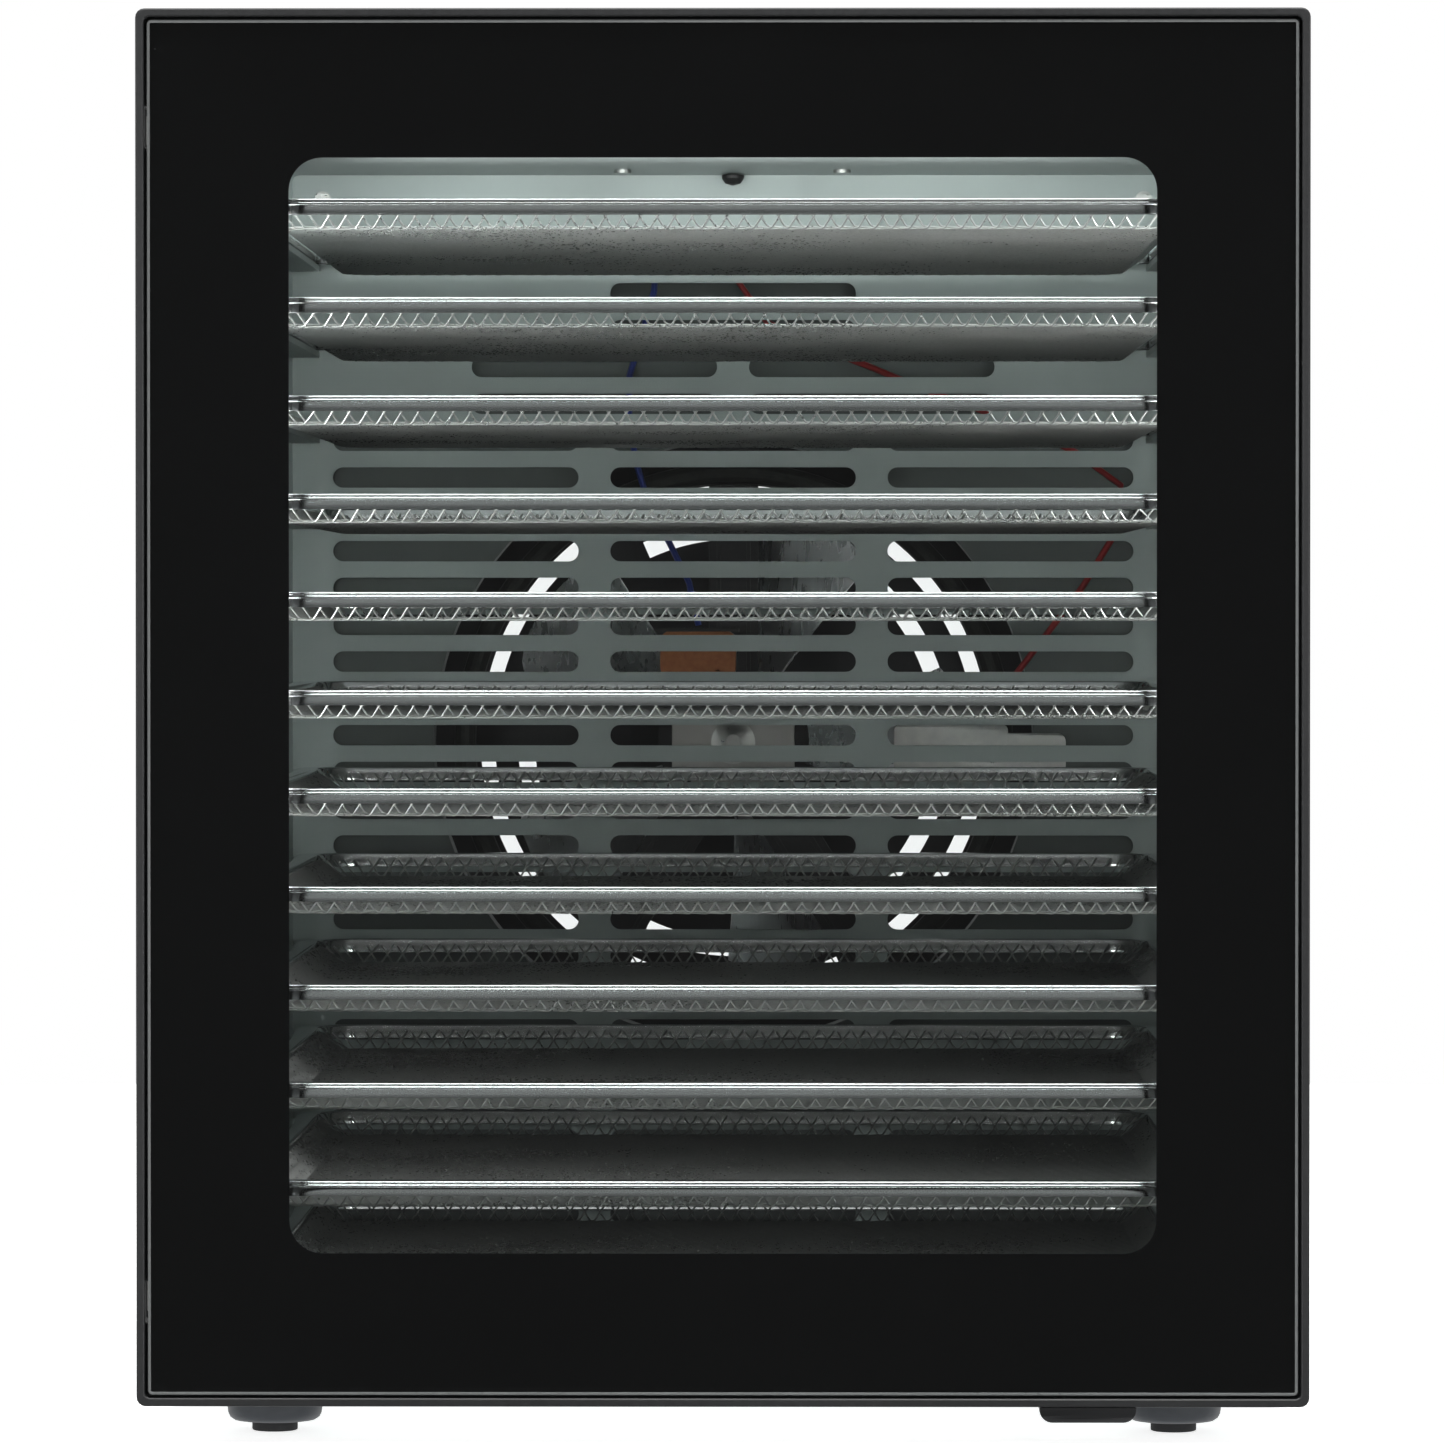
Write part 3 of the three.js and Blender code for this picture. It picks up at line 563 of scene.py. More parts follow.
display_dark = shade(
    "display_dark", (0.004, 0.01, 0.012), (0.007, 0.014, 0.016), 30, 0.04, 0.1, 0.0, coat=0.6
)
button_matt = shade("button_matt", (0.05, 0.052, 0.055), (0.065, 0.067, 0.07), 800, 0.42, 0.55, 0.2)
white_print = shade("white_print", (0.62, 0.63, 0.63), (0.72, 0.73, 0.73), 400, 0.45, 0.6, 0.1)
board_green = shade("board_green", (0.012, 0.09, 0.03), (0.02, 0.14, 0.05), 260, 0.25, 0.4, 0.1, broad=90)
red_sleeve = shade("red_sleeve", (0.34, 0.006, 0.006), (0.46, 0.012, 0.01), 300, 0.35, 0.5, 0.1)
blue_sleeve = shade("blue_sleeve", (0.01, 0.035, 0.26), (0.015, 0.05, 0.36), 300, 0.35, 0.5, 0.1)
ground_glass = shade("ground_glass", (0.11, 0.115, 0.115), (0.15, 0.155, 0.155), 500, 0.25, 0.4, 0.1)
border_print.node_tree.nodes["Principled BSDF"].inputs["Specular IOR Level"].default_value = 0.0
digit_grey = shade("digit_grey", (0.012, 0.018, 0.02), (0.016, 0.022, 0.024), 200, 0.3, 0.4, 0.0)
print("materials:", len(bpy.data.materials))

# %% [markdown]
# The floor gives off a little light of its own, so that it stays white under the machine. It lets mirrored
# rays through, which keeps it out of the black glass.

# %% Floor material
def ray_switch(material, ray, usual, other):
    """One shader for most rays, and another for the rays of one kind."""
    tree = material.node_tree
    mix = tree.nodes.new("ShaderNodeMixShader")
    path = tree.nodes.new("ShaderNodeLightPath")
    tree.links.new(path.outputs[ray], mix.inputs[0])
    tree.links.new(usual.outputs[0], mix.inputs[1])
    tree.links.new(other.outputs[0], mix.inputs[2])
    tree.links.new(mix.outputs[0], tree.nodes["Material Output"].inputs["Surface"])


floor_paint = shade("floor_paint", (0.88, 0.88, 0.88), (0.91, 0.91, 0.91), 30, 0.6, 0.7, 0.0)
floor.data.materials.append(floor_paint)
floor_tree = floor_paint.node_tree
floor_shader = floor_tree.nodes["Principled BSDF"]
floor_shader.inputs["Emission Color"].default_value = (1, 1, 1, 1)
floor_shader.inputs["Emission Strength"].default_value = 0.8
floor_open = floor_tree.nodes.new("ShaderNodeBsdfTransparent")
ray_switch(floor_paint, "Is Glossy Ray", floor_shader, floor_open)
print("floor material:", floor_paint.name)

# %% [markdown]
# Clear glass needs one more thing. Rays from lamps can't bend through glass quickly, so for those rays the
# material lets light straight through, and the trays behind the door are lit as they would be.

# %% Clear glass
clear_glass = bpy.data.materials.new("clear_glass")
clear_glass.use_nodes = True
glass_tree = clear_glass.node_tree
glass_shader = glass_tree.nodes["Principled BSDF"]
glass_shader.inputs["Base Color"].default_value = (0.93, 0.96, 0.955, 1)
glass_shader.inputs["Roughness"].default_value = 0.0
glass_shader.inputs["IOR"].default_value = 1.45
glass_shader.inputs["Transmission Weight"].default_value = 1.0
glass_open = glass_tree.nodes.new("ShaderNodeBsdfTransparent")
glass_open.inputs["Color"].default_value = (0.9, 0.94, 0.93, 1)
ray_switch(clear_glass, "Is Shadow Ray", glass_shader, glass_open)
print("glass nodes:", len(glass_tree.nodes))

# %% [markdown]
# ## Geometry Nodes helper
# A tree is built in the script. Its inputs are named sizes, and a modifier's inputs are set by the
# identifier of each socket. The result becomes a plain mesh before the frame hears of it.

# %% Geometry Nodes helper
class ShapeTree:
    def __init__(self, name, inputs):
        self.group = bpy.data.node_groups.new(name, "GeometryNodeTree")
        self.group.interface.new_socket("Geometry", in_out="INPUT", socket_type="NodeSocketGeometry")
        self.idents = {}
        for label, kind, value in inputs:
            socket = self.group.interface.new_socket(label, in_out="INPUT", socket_type="NodeSocket" + kind)
            if value is not None:
                socket.default_value = value
            self.idents[label] = socket.identifier
        self.group.interface.new_socket("Geometry", in_out="OUTPUT", socket_type="NodeSocketGeometry")
        self.source = self.group.nodes.new("NodeGroupInput").outputs
        self.result = self.group.nodes.new("NodeGroupOutput")

    def put(self, socket, value):
        if isinstance(value, bpy.types.NodeSocket):
            self.group.links.new(value, socket)
        elif value is not None:
            socket.default_value = value

    def node(self, kind, inputs=(), **settings):
        """A node with its settings and its inputs, by name or by number. Gives the node."""
        made = self.group.nodes.new(kind)
        for label, value in settings.items():
            setattr(made, label, value)
        for key, value in dict(inputs).items():
            self.put(made.inputs[key], value)
        return made

    def math(self, operation, a, b=0.0):
        return self.node("ShaderNodeMath", {0: a, 1: b}, operation=operation).outputs[0]

    def vector(self, operation, a, b=None):
        return self.node("ShaderNodeVectorMath", {0: a, 1: b}, operation=operation).outputs[0]

    def xyz(self, x=0.0, y=0.0, z=0.0):
        return self.node("ShaderNodeCombineXYZ", {"X": x, "Y": y, "Z": z}).outputs[0]

    def end(self, geometry, material):
        real = self.node("GeometryNodeRealizeInstances", {0: geometry}).outputs[0]
        done = self.node("GeometryNodeSetMaterial", {"Geometry": real, "Material": material})
        self.group.links.new(done.outputs[0], self.result.inputs[0])

    def make(self, name, values, start=None):
        """The tree's result as a plain mesh object."""
        host = new_object(name + "_host", start or bpy.data.meshes.new(name + "_host"))
        modifier = host.modifiers.new("shape", "NODES")
        modifier.node_group = self.group
        for label, value in values.items():
            modifier[self.idents[label]] = value
        graph = bpy.context.evaluated_depsgraph_get()
        mesh = bpy.data.meshes.new_from_object(host.evaluated_get(graph), depsgraph=graph)
        bpy.data.objects.remove(host)
        mesh.name = name
        return new_object(name, mesh)


print("a ShapeTree turns its nodes into one plain mesh")

# %% [markdown]
# ## Wire pan of a tray
# The pan is a mesh of straight wires pressed into a shallow dish. One wire runs from the rim down the wall,
# across the floor and up the other wall. The tree casts a ray along each wire's line to find where it
# meets the rim and where it meets the floor's edge, puts four points there and rounds the bends.
# Wires of the two directions lie one above the other, a wire's thickness apart.

# %% Wire pan tree
FAR = 2.0
pan = ShapeTree(
    "wire_pan",
    [
        ("Half Width", "Float", 0.14),
        ("Half Length", "Float", 0.163),
        ("Middle", "Float", -0.027),
        ("Corner", "Float", 0.015),
        ("Run Across", "Float", 0.008),
        ("Run Along", "Float", 0.0035),
        ("Edge Height", "Float", 0.1),
        ("Floor Height", "Float", 0.09),
        ("Spacing", "Float", 0.005),
        ("Wire Radius", "Float", 0.0003),
        ("Shift", "Float", 0.0),
        ("Material", "Material", None),
    ],
)


def ring_wall(tree, inset_x, inset_y):
    """A low wall that stands on a rounded rectangle, for rays to hit."""
    width = tree.math("MULTIPLY", tree.math("SUBTRACT", tree.source["Half Width"], inset_x), 2.0)
    length = tree.math("MULTIPLY", tree.math("SUBTRACT", tree.source["Half Length"], inset_y), 2.0)
    outline = tree.node("GeometryNodeCurvePrimitiveQuadrilateral", {"Width": width, "Height": length})
    corner = tree.math("SUBTRACT", tree.source["Corner"], inset_y)
    soft = tree.node(
        "GeometryNodeFilletCurve",
        {"Curve": outline.outputs[0], "Radius": corner, "Count": 10},
        mode="POLY",
    )
    edges = tree.node("GeometryNodeCurveToMesh", {"Curve": soft.outputs[0]})
    low = tree.node("GeometryNodeTransform", {"Geometry": edges.outputs[0], "Translation": (0, 0, -0.5)})
    wall = tree.node(
        "GeometryNodeExtrudeMesh",
        {"Mesh": low.outputs[0], "Offset": tree.xyz(0.0, 0.0, 1.0), "Offset Scale": 1.0},
        mode="EDGES",
    )
    return wall.outputs[0]


def first_hit(tree, wall, origin, direction):
    cast = tree.node(
        "GeometryNodeRaycast",
        {
            "Target Geometry": wall,
            "Source Position": origin,
            "Ray Direction": direction,
            "Ray Length": 2 * FAR,
        },
    )
    return cast.outputs["Hit Position"], cast.outputs["Is Hit"]


print("inputs of the pan:", len(pan.idents))

# %% [markdown]
# The wires of one direction start as a row of points. Each point casts its rays, keeps the four places it
# found and carries a bare wire of four points, which then moves to them. The other direction does the same.

# %% Wires of both directions
rim_wall = ring_wall(pan, 0.0, 0.0)
floor_wall = ring_wall(pan, pan.source["Run Across"], pan.source["Run Along"])
reach = pan.math("ADD", pan.source["Half Width"], pan.source["Half Length"])
wire_count = pan.math("FLOOR", pan.math("DIVIDE", pan.math("MULTIPLY", reach, 2.0), pan.source["Spacing"]))
first_x = pan.math("SUBTRACT", pan.source["Shift"], reach)
layers = []
for slope, lift in ((1.0, 0.9), (-1.0, -0.9)):
    direction = Vector((1, slope, 0)).normalized()
    line = pan.node(
        "GeometryNodeMeshLine",
        {"Count": wire_count, "Start Location": pan.xyz(first_x), "Offset": pan.xyz(pan.source["Spacing"])},
    ).outputs[0]
    here = pan.node("GeometryNodeInputPosition").outputs[0]
    before = pan.vector("SUBTRACT", here, tuple(direction * FAR))
    after = pan.vector("ADD", here, tuple(direction * FAR))
    ahead, back = tuple(direction), tuple(-direction)
    rim_a, hit_rim = first_hit(pan, rim_wall, before, ahead)
    rim_b, _ = first_hit(pan, rim_wall, after, back)
    floor_a, hit_floor = first_hit(pan, floor_wall, before, ahead)
    floor_b, _ = first_hit(pan, floor_wall, after, back)
    both = pan.node("FunctionNodeBooleanMath", {0: hit_rim, 1: hit_floor}, operation="AND").outputs[0]
    level = pan.math("ADD", pan.source["Floor Height"], pan.math("MULTIPLY", pan.source["Wire Radius"], lift))
    top = pan.math("ADD", pan.source["Edge Height"], pan.math("MULTIPLY", pan.source["Wire Radius"], lift))
    stops = []
    for hit, height in ((rim_a, top), (floor_a, level), (floor_b, level), (rim_b, top)):
        plan = pan.vector("MULTIPLY", hit, (1, 1, 0))
        stops.append(pan.vector("ADD", plan, pan.xyz(0.0, pan.source["Middle"], height)))
    captured = pan.node("GeometryNodeCaptureAttribute", {"Geometry": line}, domain="POINT")
    for index in range(4):
        captured.capture_items.new("VECTOR", "stop" + str(index))
    captured.capture_items.new("BOOLEAN", "used")
    for index, stop in enumerate(stops):
        pan.put(captured.inputs[index + 1], stop)
    pan.put(captured.inputs[5], both)
    bare_wire = pan.node("GeometryNodeMeshLine", {"Count": 4, "Offset": (0, 0, 0.001)}).outputs[0]
    placed = pan.node(
        "GeometryNodeInstanceOnPoints",
        {"Points": captured.outputs[0], "Instance": bare_wire, "Selection": captured.outputs[5]},
    )
    loose = pan.node("GeometryNodeRealizeInstances", {0: placed.outputs[0]}).outputs[0]
    order = pan.math("MODULO", pan.node("GeometryNodeInputIndex").outputs[0], 4.0)
    pick = pan.node("GeometryNodeIndexSwitch", data_type="VECTOR")
    pick.index_switch_items.new()
    pick.index_switch_items.new()
    pan.put(pick.inputs[0], order)
    for index in range(4):
        pan.put(pick.inputs[index + 1], captured.outputs[index + 1])
    moved = pan.node("GeometryNodeSetPosition", {"Geometry": loose, "Position": pick.outputs[0]})
    curves = pan.node("GeometryNodeMeshToCurve", {0: moved.outputs[0]}).outputs[0]
    bent = pan.node(
        "GeometryNodeFilletCurve",
        {"Curve": curves, "Radius": 0.0018, "Count": 3, "Limit Radius": True},
        mode="POLY",
    )
    round_wire = pan.node(
        "GeometryNodeCurvePrimitiveCircle", {"Resolution": 5, "Radius": pan.source["Wire Radius"]}
    )
    tube = pan.node(
        "GeometryNodeCurveToMesh",
        {"Curve": bent.outputs[0], "Profile Curve": round_wire.outputs[0], "Fill Caps": True},
    )
    layers.append(tube.outputs[0])
both_layers = pan.node("GeometryNodeJoinGeometry")
for layer in layers:
    pan.group.links.new(layer, both_layers.inputs[0])
pan.end(both_layers.outputs[0], pan.source["Material"])
print("pan tree nodes:", len(pan.group.nodes))

# %% [markdown]
# ## Twelve trays
# The rim is a folded steel band: two small rolled beads along its top edge that catch the light as two
# bright lines, and a flat face under them. Its flat top rests on the ledges at both sides. Each pan's
# wires start at their own place, so that no two trays show the same pattern.

# %% Rims and pans
random.seed(12)
RIM_BAND = 4.5 * MM
WIRE_SPACING = 5.17 * MM
WIRE_RADIUS = 0.31 * MM


def tray_outline(low, high):
    return lambda inset: rounded(
        low.x + inset, high.x - inset, low.y + inset, high.y - inset, 22 * MM - inset, 12
    )


def rim_profile(top):
    """Two beads at the outside top, a flat band, and an inner wall, as (inset, height)."""
    points = []
    bead = 0.46 * MM
    for centre in (top - bead, top - 3 * bead):
        for step in range(7):
            angle = math.pi * (0.5 - step / 6)
            points.append((bead * (1 - math.cos(angle)) + 0.02 * MM, centre + bead * math.sin(angle)))
    points += [(0.55 * MM, top - 4.2 * bead), (0.6 * MM, top - RIM_BAND), (1.3 * MM, top - RIM_BAND)]
    points += [(1.3 * MM, top - 1.2 * MM), (6.0 * MM, top - 1.2 * MM), (6.0 * MM, top - RIM_BAND)]
    points += [(6.7 * MM, top - RIM_BAND), (6.8 * MM, top - 0.5 * MM), (6.3 * MM, top)]
    return points


tray_bodies = sorted(name for name in frame["bodies"] if name.startswith("tray_"))
for body in tray_bodies:
    number = body[-2:]
    low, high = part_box("tray_rim_" + number)
    pan_low, pan_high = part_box("tray_mesh_" + number)
    rim = swept("rim_" + number, tray_outline(low, high), rim_profile(high.z), angle=50)
    wear(rim, rim_steel, body, "tray_steel", "tray_rim_" + number)
    wires = pan.make(
        "pan_" + number,
        {
            "Half Width": (pan_high.x - pan_low.x) / 2 - 2 * WIRE_RADIUS,
            "Half Length": (pan_high.y - pan_low.y) / 2 - 2 * WIRE_RADIUS,
            "Middle": (pan_high.y + pan_low.y) / 2,
            "Corner": 14.4 * MM,
            "Run Across": 8 * MM,
            "Run Along": 4.0 * MM,
            "Edge Height": high.z - 2 * MM,
            "Floor Height": pan_low.z + 2.2 * WIRE_RADIUS,
            "Spacing": WIRE_SPACING,
            "Wire Radius": WIRE_RADIUS,
            "Shift": random.uniform(0, WIRE_SPACING),
            "Material": wire_steel,
        },
    )
    wires.data.shade_smooth()
    wear(wires, wire_steel, body, "tray_wire", "tray_mesh_" + number)
print("trays:", len(tray_bodies), "faces in a pan:", len(wires.data.polygons))

# %% [markdown]
# ## Door
# The frame is a welded steel rim with a pocket for the pane. Its CAD shape already has the pocket, the
# window and the hinge cut-outs, so it only gets rounded edges. The pane has a ground bevel at its edge, which
# shows as a thin light line, and a black print on its back that hides the frame and leaves a clear window.

# %% Frame, pane and ground edge
frame_piece = finer_copy("door_frame", 0.6 * MM, 3)
wear(frame_piece, door_paint, "door", "door_paint", "door_frame")

pane_low, pane_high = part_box("door_glass")
GROUND_EDGE = 0.9 * MM


def pane_outline(inset):
    return rounded(
        pane_low.x + inset, pane_high.x - inset, pane_low.z + inset, pane_high.z - inset, 1.3 * MM - inset
    )


pane = plate("door_pane", [pane_outline(GROUND_EDGE)], pane_low.y, pane_high.y, bevel=0)
wear(pane, clear_glass, "door", "door_glass", "door_glass")
edge_profile = [
    (0, pane_high.y),
    (0, pane_low.y + GROUND_EDGE),
    (GROUND_EDGE - 0.05 * MM, pane_low.y + 0.05 * MM),
    (GROUND_EDGE - 0.02 * MM, pane_high.y),
]
ground = swept("ground_edge", pane_outline, edge_profile, axis="Y")
wear(ground, ground_glass, "door", "door_glass")

print("ground edge, mm:", GROUND_EDGE / MM)

# %% [markdown]
# The print is a thin black layer on the back of the pane. It has no gloss of its own, because it is seen
# through the glass, and its clear window has round corners.

# %% Black print
WINDOW = rounded(-127.6 * MM, 127.6 * MM, 56.4 * MM, 378.8 * MM, 9.8 * MM, 16)
print_back = pane_high.y + 0.2 * MM
print_front = pane_high.y + 0.04 * MM
border = plate("pane_print", [pane_outline(GROUND_EDGE), WINDOW], print_front, print_back, bevel=0)
wear(border, border_print, "door", "door_paint")

print("print thickness, mm:", round((print_back - print_front) / MM, 2))

# %% [markdown]
# The seal is an extruded rubber strip behind the frame. Two round ribs on a flat base press against the case.

# %% Seal
seal_low, seal_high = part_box("door_seal")
SEAL_WIDTH = 6 * MM


def seal_outline(inset):
    return rounded(
        seal_low.x + inset, seal_high.x - inset, seal_low.z + inset, seal_high.z - inset, 6 * MM - inset / 2
    )


def seal_profile():
    """A flat strip with two soft ribs that press against the case's flange."""
    points = [(0, seal_low.y), (0, seal_low.y + 1.1 * MM)]
    rib = SEAL_WIDTH / 4
    for centre in (rib, 3 * rib):
        for step in range(7):
            angle = math.pi * (1 - step / 6)
            depth = seal_low.y + 1.1 * MM + (seal_high.y - seal_low.y - 1.1 * MM) * math.sin(angle)
            points.append((centre + 0.85 * rib * math.cos(angle), depth))
    return points + [(SEAL_WIDTH, seal_low.y + 1.1 * MM), (SEAL_WIDTH, seal_low.y)]


seal = swept("seal", seal_outline, seal_profile(), axis="Y", angle=50)
wear(seal, rubber, "door", "black_rubber", "door_seal")

print("seal faces:", len(seal.data.polygons))

# %% [markdown]
# The pull is a steel tab bent from sheet: a lip with two round lower corners and a leg that goes back under
# the frame. A plain two-piece plate shows its thin bright edge.

# %% Pull
pull_low, pull_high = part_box("door_pull")
lip_outline = [
    (pull_high.x, pull_high.z),
    (pull_low.x, pull_high.z),
    *rounded(pull_low.x, pull_high.x, pull_low.z, pull_high.z + 8 * MM, 3.8 * MM)[18:],
]
lip = plate("pull_lip", [lip_outline], pull_low.y, pull_low.y + 1.2 * MM, bevel=0.35 * MM, segments=3)
leg = plate(
    "pull_leg",
    [rounded(pull_low.x, pull_high.x, pull_low.y + 0.3 * MM, pull_high.y, 0.25 * MM)],
    pull_high.z - 1.2 * MM,
    pull_high.z,
    axis="Z",
)
wear(joined("pull", [lip, leg]), pull_steel, "door", "polished_steel", "door_pull")
print("pull, mm:", [round((high - low) / MM, 1) for low, high in zip(pull_low, pull_high)])

# %% [markdown]
# ## Case and cavity
# The case is one bent sheet around a cavity box. Their CAD shapes are already right, so they get the soft
# folds of bent sheet and a surface: textured black paint outside, satin steel with fine lines inside.

# %% Case, cavity, base and hinge arms
FINE_PARTS = (
    ("cabinet_shell", 0.6, case_paint, "case_paint"),
    ("cavity_liner", 0.35, liner_steel, "liner_steel"),
    ("hinge_pin_bottom", 0.4, zinc, "hinge_steel"),
    ("hinge_pin_top", 0.4, zinc, "hinge_steel"),
    ("catch_magnet", 0.5, black_plastic, "black_plastic"),
    ("temp_sensor", 0.3, black_metal, "black_metal"),
)
for node, width, material, slot in FINE_PARTS:
    wear(finer_copy(node, width * MM), material, "cabinet", slot, node)
restyle("base_pan", galvanised)
restyle("control_board", board_green)
restyle("wire_red", red_sleeve)
restyle("wire_blue", blue_sleeve)
print("parts with finer edges:", len(FINE_PARTS))

# %% [markdown]
# ## Pierced sheets
# The baffle and the back are sheets with many equal openings, stamped in one blow each. Both trees start
# from a sheet's outline, add the outlines of the openings, fill what is between them and thicken the result.

# %% Fill and thicken
def outline_mesh(name, outlines):
    mesh = bpy.data.meshes.new(name)
    verts, edges = [], []
    for outline in outlines:
        first = len(verts)
        size = len(outline)
        verts += [(a, b, 0) for a, b in outline]
        edges += [(first + i, first + (i + 1) % size) for i in range(size)]
    mesh.from_pydata(verts, edges, [])
    return mesh


def fill_and_thicken(tree, openings):
    """Fills between the sheet's outline and its openings and stands the sheet up at its depth."""
    outline = tree.node("GeometryNodeMeshToCurve", {0: tree.source["Geometry"]}).outputs[0]
    curves = tree.node("GeometryNodeJoinGeometry")
    for curve in [outline, *openings]:
        tree.group.links.new(curve, curves.inputs[0])
    flat = tree.node("GeometryNodeFillCurve", {0: curves.outputs[0]}).outputs[0]
    raised = tree.node(
        "GeometryNodeExtrudeMesh",
        {
            "Mesh": flat,
            "Offset": tree.xyz(0.0, 0.0, tree.source["Thickness"]),
            "Offset Scale": 1.0,
            "Individual": False,
        },
        mode="FACES",
    ).outputs[0]
    both = tree.node("GeometryNodeJoinGeometry")
    tree.group.links.new(raised, both.inputs[0])
    tree.group.links.new(tree.node("GeometryNodeFlipFaces", {0: flat}).outputs[0], both.inputs[0])
    closing = {"Geometry": both.outputs[0], "Distance": 1e-6}
    sheet = tree.node("GeometryNodeMergeByDistance", closing).outputs[0]
    place = tree.xyz(0.0, tree.source["Back"], 0.0)
    stand = {"Geometry": sheet, "Translation": place, "Rotation": (math.pi / 2, 0, 0)}
    tree.end(tree.node("GeometryNodeTransform", stand).outputs[0], tree.source["Material"])


def outward(piece):
    bm = bmesh.new()
    bm.from_mesh(piece.data)
    bmesh.ops.recalc_face_normals(bm, faces=bm.faces[:])
    bm.to_mesh(piece.data)
    bm.free()
    return piece


SHEET_INPUTS = [("Back", "Float", 0.15), ("Thickness", "Float", 0.001), ("Material", "Material", None)]
print("inputs every sheet has:", len(SHEET_INPUTS))

# %% [markdown]
# The baffle's slots stand in rows: one slot in each of the top two rows, two in the next two, and three in
# all the rest, so that less air passes above the top tray. A line of points is folded into rows by its index.

# %% Slotted baffle
slots = ShapeTree(
    "slot_rows",
    SHEET_INPUTS
    + [
        ("Slot Length", "Float", 0.084),
        ("Slot Height", "Float", 0.007),
        ("Column Pitch", "Float", 0.095),
        ("Row Pitch", "Float", 0.0126),
        ("Top", "Float", 0.354),
    ],
)
slot_box = slots.node(
    "GeometryNodeCurvePrimitiveQuadrilateral",
    {"Width": slots.source["Slot Length"], "Height": slots.source["Slot Height"]},
)
slot_end = slots.math("MULTIPLY", slots.source["Slot Height"], 0.49)
slot_shape = slots.node(
    "GeometryNodeFilletCurve", {"Curve": slot_box.outputs[0], "Radius": slot_end, "Count": 7}, mode="POLY"
)
fields = []
rows_above = 0
for columns, rows in ((1, 2), (2, 2), (3, 23)):
    index = slots.node("GeometryNodeInputIndex").outputs[0]
    column = slots.math("SUBTRACT", slots.math("MODULO", index, float(columns)), (columns - 1) / 2)
    row_here = slots.math("FLOOR", slots.math("DIVIDE", index, float(columns)))
    row = slots.math("ADD", row_here, float(rows_above))
    x = slots.math("MULTIPLY", column, slots.source["Column Pitch"])
    drop = slots.math("MULTIPLY", row, slots.source["Row Pitch"])
    height = slots.math("SUBTRACT", slots.source["Top"], drop)
    line = slots.node("GeometryNodeMeshLine", {"Count": columns * rows, "Offset": (0, 0, 0.001)}).outputs[0]
    spots = slots.node("GeometryNodeSetPosition", {"Geometry": line, "Position": slots.xyz(x, height, 0.0)})
    spread = slots.node(
        "GeometryNodeInstanceOnPoints", {"Points": spots.outputs[0], "Instance": slot_shape.outputs[0]}
    )
    fields.append(slots.node("GeometryNodeRealizeInstances", {0: spread.outputs[0]}).outputs[0])
    rows_above += rows
fill_and_thicken(slots, fields)

baffle_low, baffle_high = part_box("slotted_baffle")
baffle = slots.make(
    "baffle",
    {
        "Back": baffle_high.y,
        "Thickness": baffle_high.y - baffle_low.y,
        "Slot Length": 83.8 * MM,
        "Slot Height": 7 * MM,
        "Column Pitch": 94.6 * MM,
        "Row Pitch": 12.56 * MM,
        "Top": 354.2 * MM,
        "Material": galvanised,
    },
    outline_mesh("baffle_edge", [rounded(baffle_low.x, baffle_high.x, baffle_low.z, baffle_high.z, 2 * MM)]),
)
bevelled(outward(baffle), 0.25 * MM)
wear(baffle, galvanised, "cabinet", "galvanised", "slotted_baffle")
print("baffle faces:", len(baffle.data.polygons))

# %% [markdown]
# Behind the fan the back has two rings of curved vents, six vents a ring. One vent is a short arc given a
# width; its border becomes an outline, and six of them are turned about the fan's axis.

# %% Vent tree
vents = ShapeTree(
    "vent_rings",
    SHEET_INPUTS
    + [
        ("Centre Height", "Float", 0.2),
        ("Inner Radius", "Float", 0.073),
        ("Inner Width", "Float", 0.006),
        ("Outer Radius", "Float", 0.0865),
        ("Outer Width", "Float", 0.005),
        ("Sweep", "Float", 0.87),
        ("Count", "Int", 6),
    ],
)
rings = []
for label in ("Inner", "Outer"):
    arc = vents.node(
        "GeometryNodeCurveArc",
        {
            "Resolution": 20,
            "Radius": vents.source[label + " Radius"],
            "Sweep Angle": vents.source["Sweep"],
        },
    )
    half = vents.math("MULTIPLY", vents.source[label + " Width"], 0.5)
    across = vents.node(
        "GeometryNodeCurvePrimitiveLine",
        {"Start": vents.xyz(vents.math("MULTIPLY", half, -1.0)), "End": vents.xyz(half)},
    )
    along = {"Curve": arc.outputs[0], "Profile Curve": across.outputs[0]}
    band = vents.node("GeometryNodeCurveToMesh", along)
    sides = vents.node("GeometryNodeInputMeshEdgeNeighbors").outputs[0]
    is_border = vents.node("FunctionNodeCompare", {2: sides, 3: 1}, data_type="INT", operation="EQUAL")
    edge_choice = {0: band.outputs[0], "Selection": is_border.outputs[0]}
    border_curve = vents.node("GeometryNodeMeshToCurve", edge_choice)
    index = vents.node("GeometryNodeInputIndex").outputs[0]
    step = vents.math("DIVIDE", 2 * math.pi, vents.source["Count"])
    start = vents.math("MULTIPLY", vents.math("SUBTRACT", step, vents.source["Sweep"]), 0.5)
    turn = vents.xyz(0.0, 0.0, vents.math("ADD", start, vents.math("MULTIPLY", index, step)))
    centre = vents.xyz(0.0, vents.source["Centre Height"], 0.0)
    spots = vents.node(
        "GeometryNodeMeshLine",
        {"Count": vents.source["Count"], "Start Location": centre, "Offset": (0, 0, 0)},
    )
    spread = vents.node(
        "GeometryNodeInstanceOnPoints",
        {"Points": spots.outputs[0], "Instance": border_curve.outputs[0], "Rotation": turn},
    )
    rings.append(vents.node("GeometryNodeRealizeInstances", {0: spread.outputs[0]}).outputs[0])
fill_and_thicken(vents, rings)
print("inputs of the vent tree:", len(vents.idents))

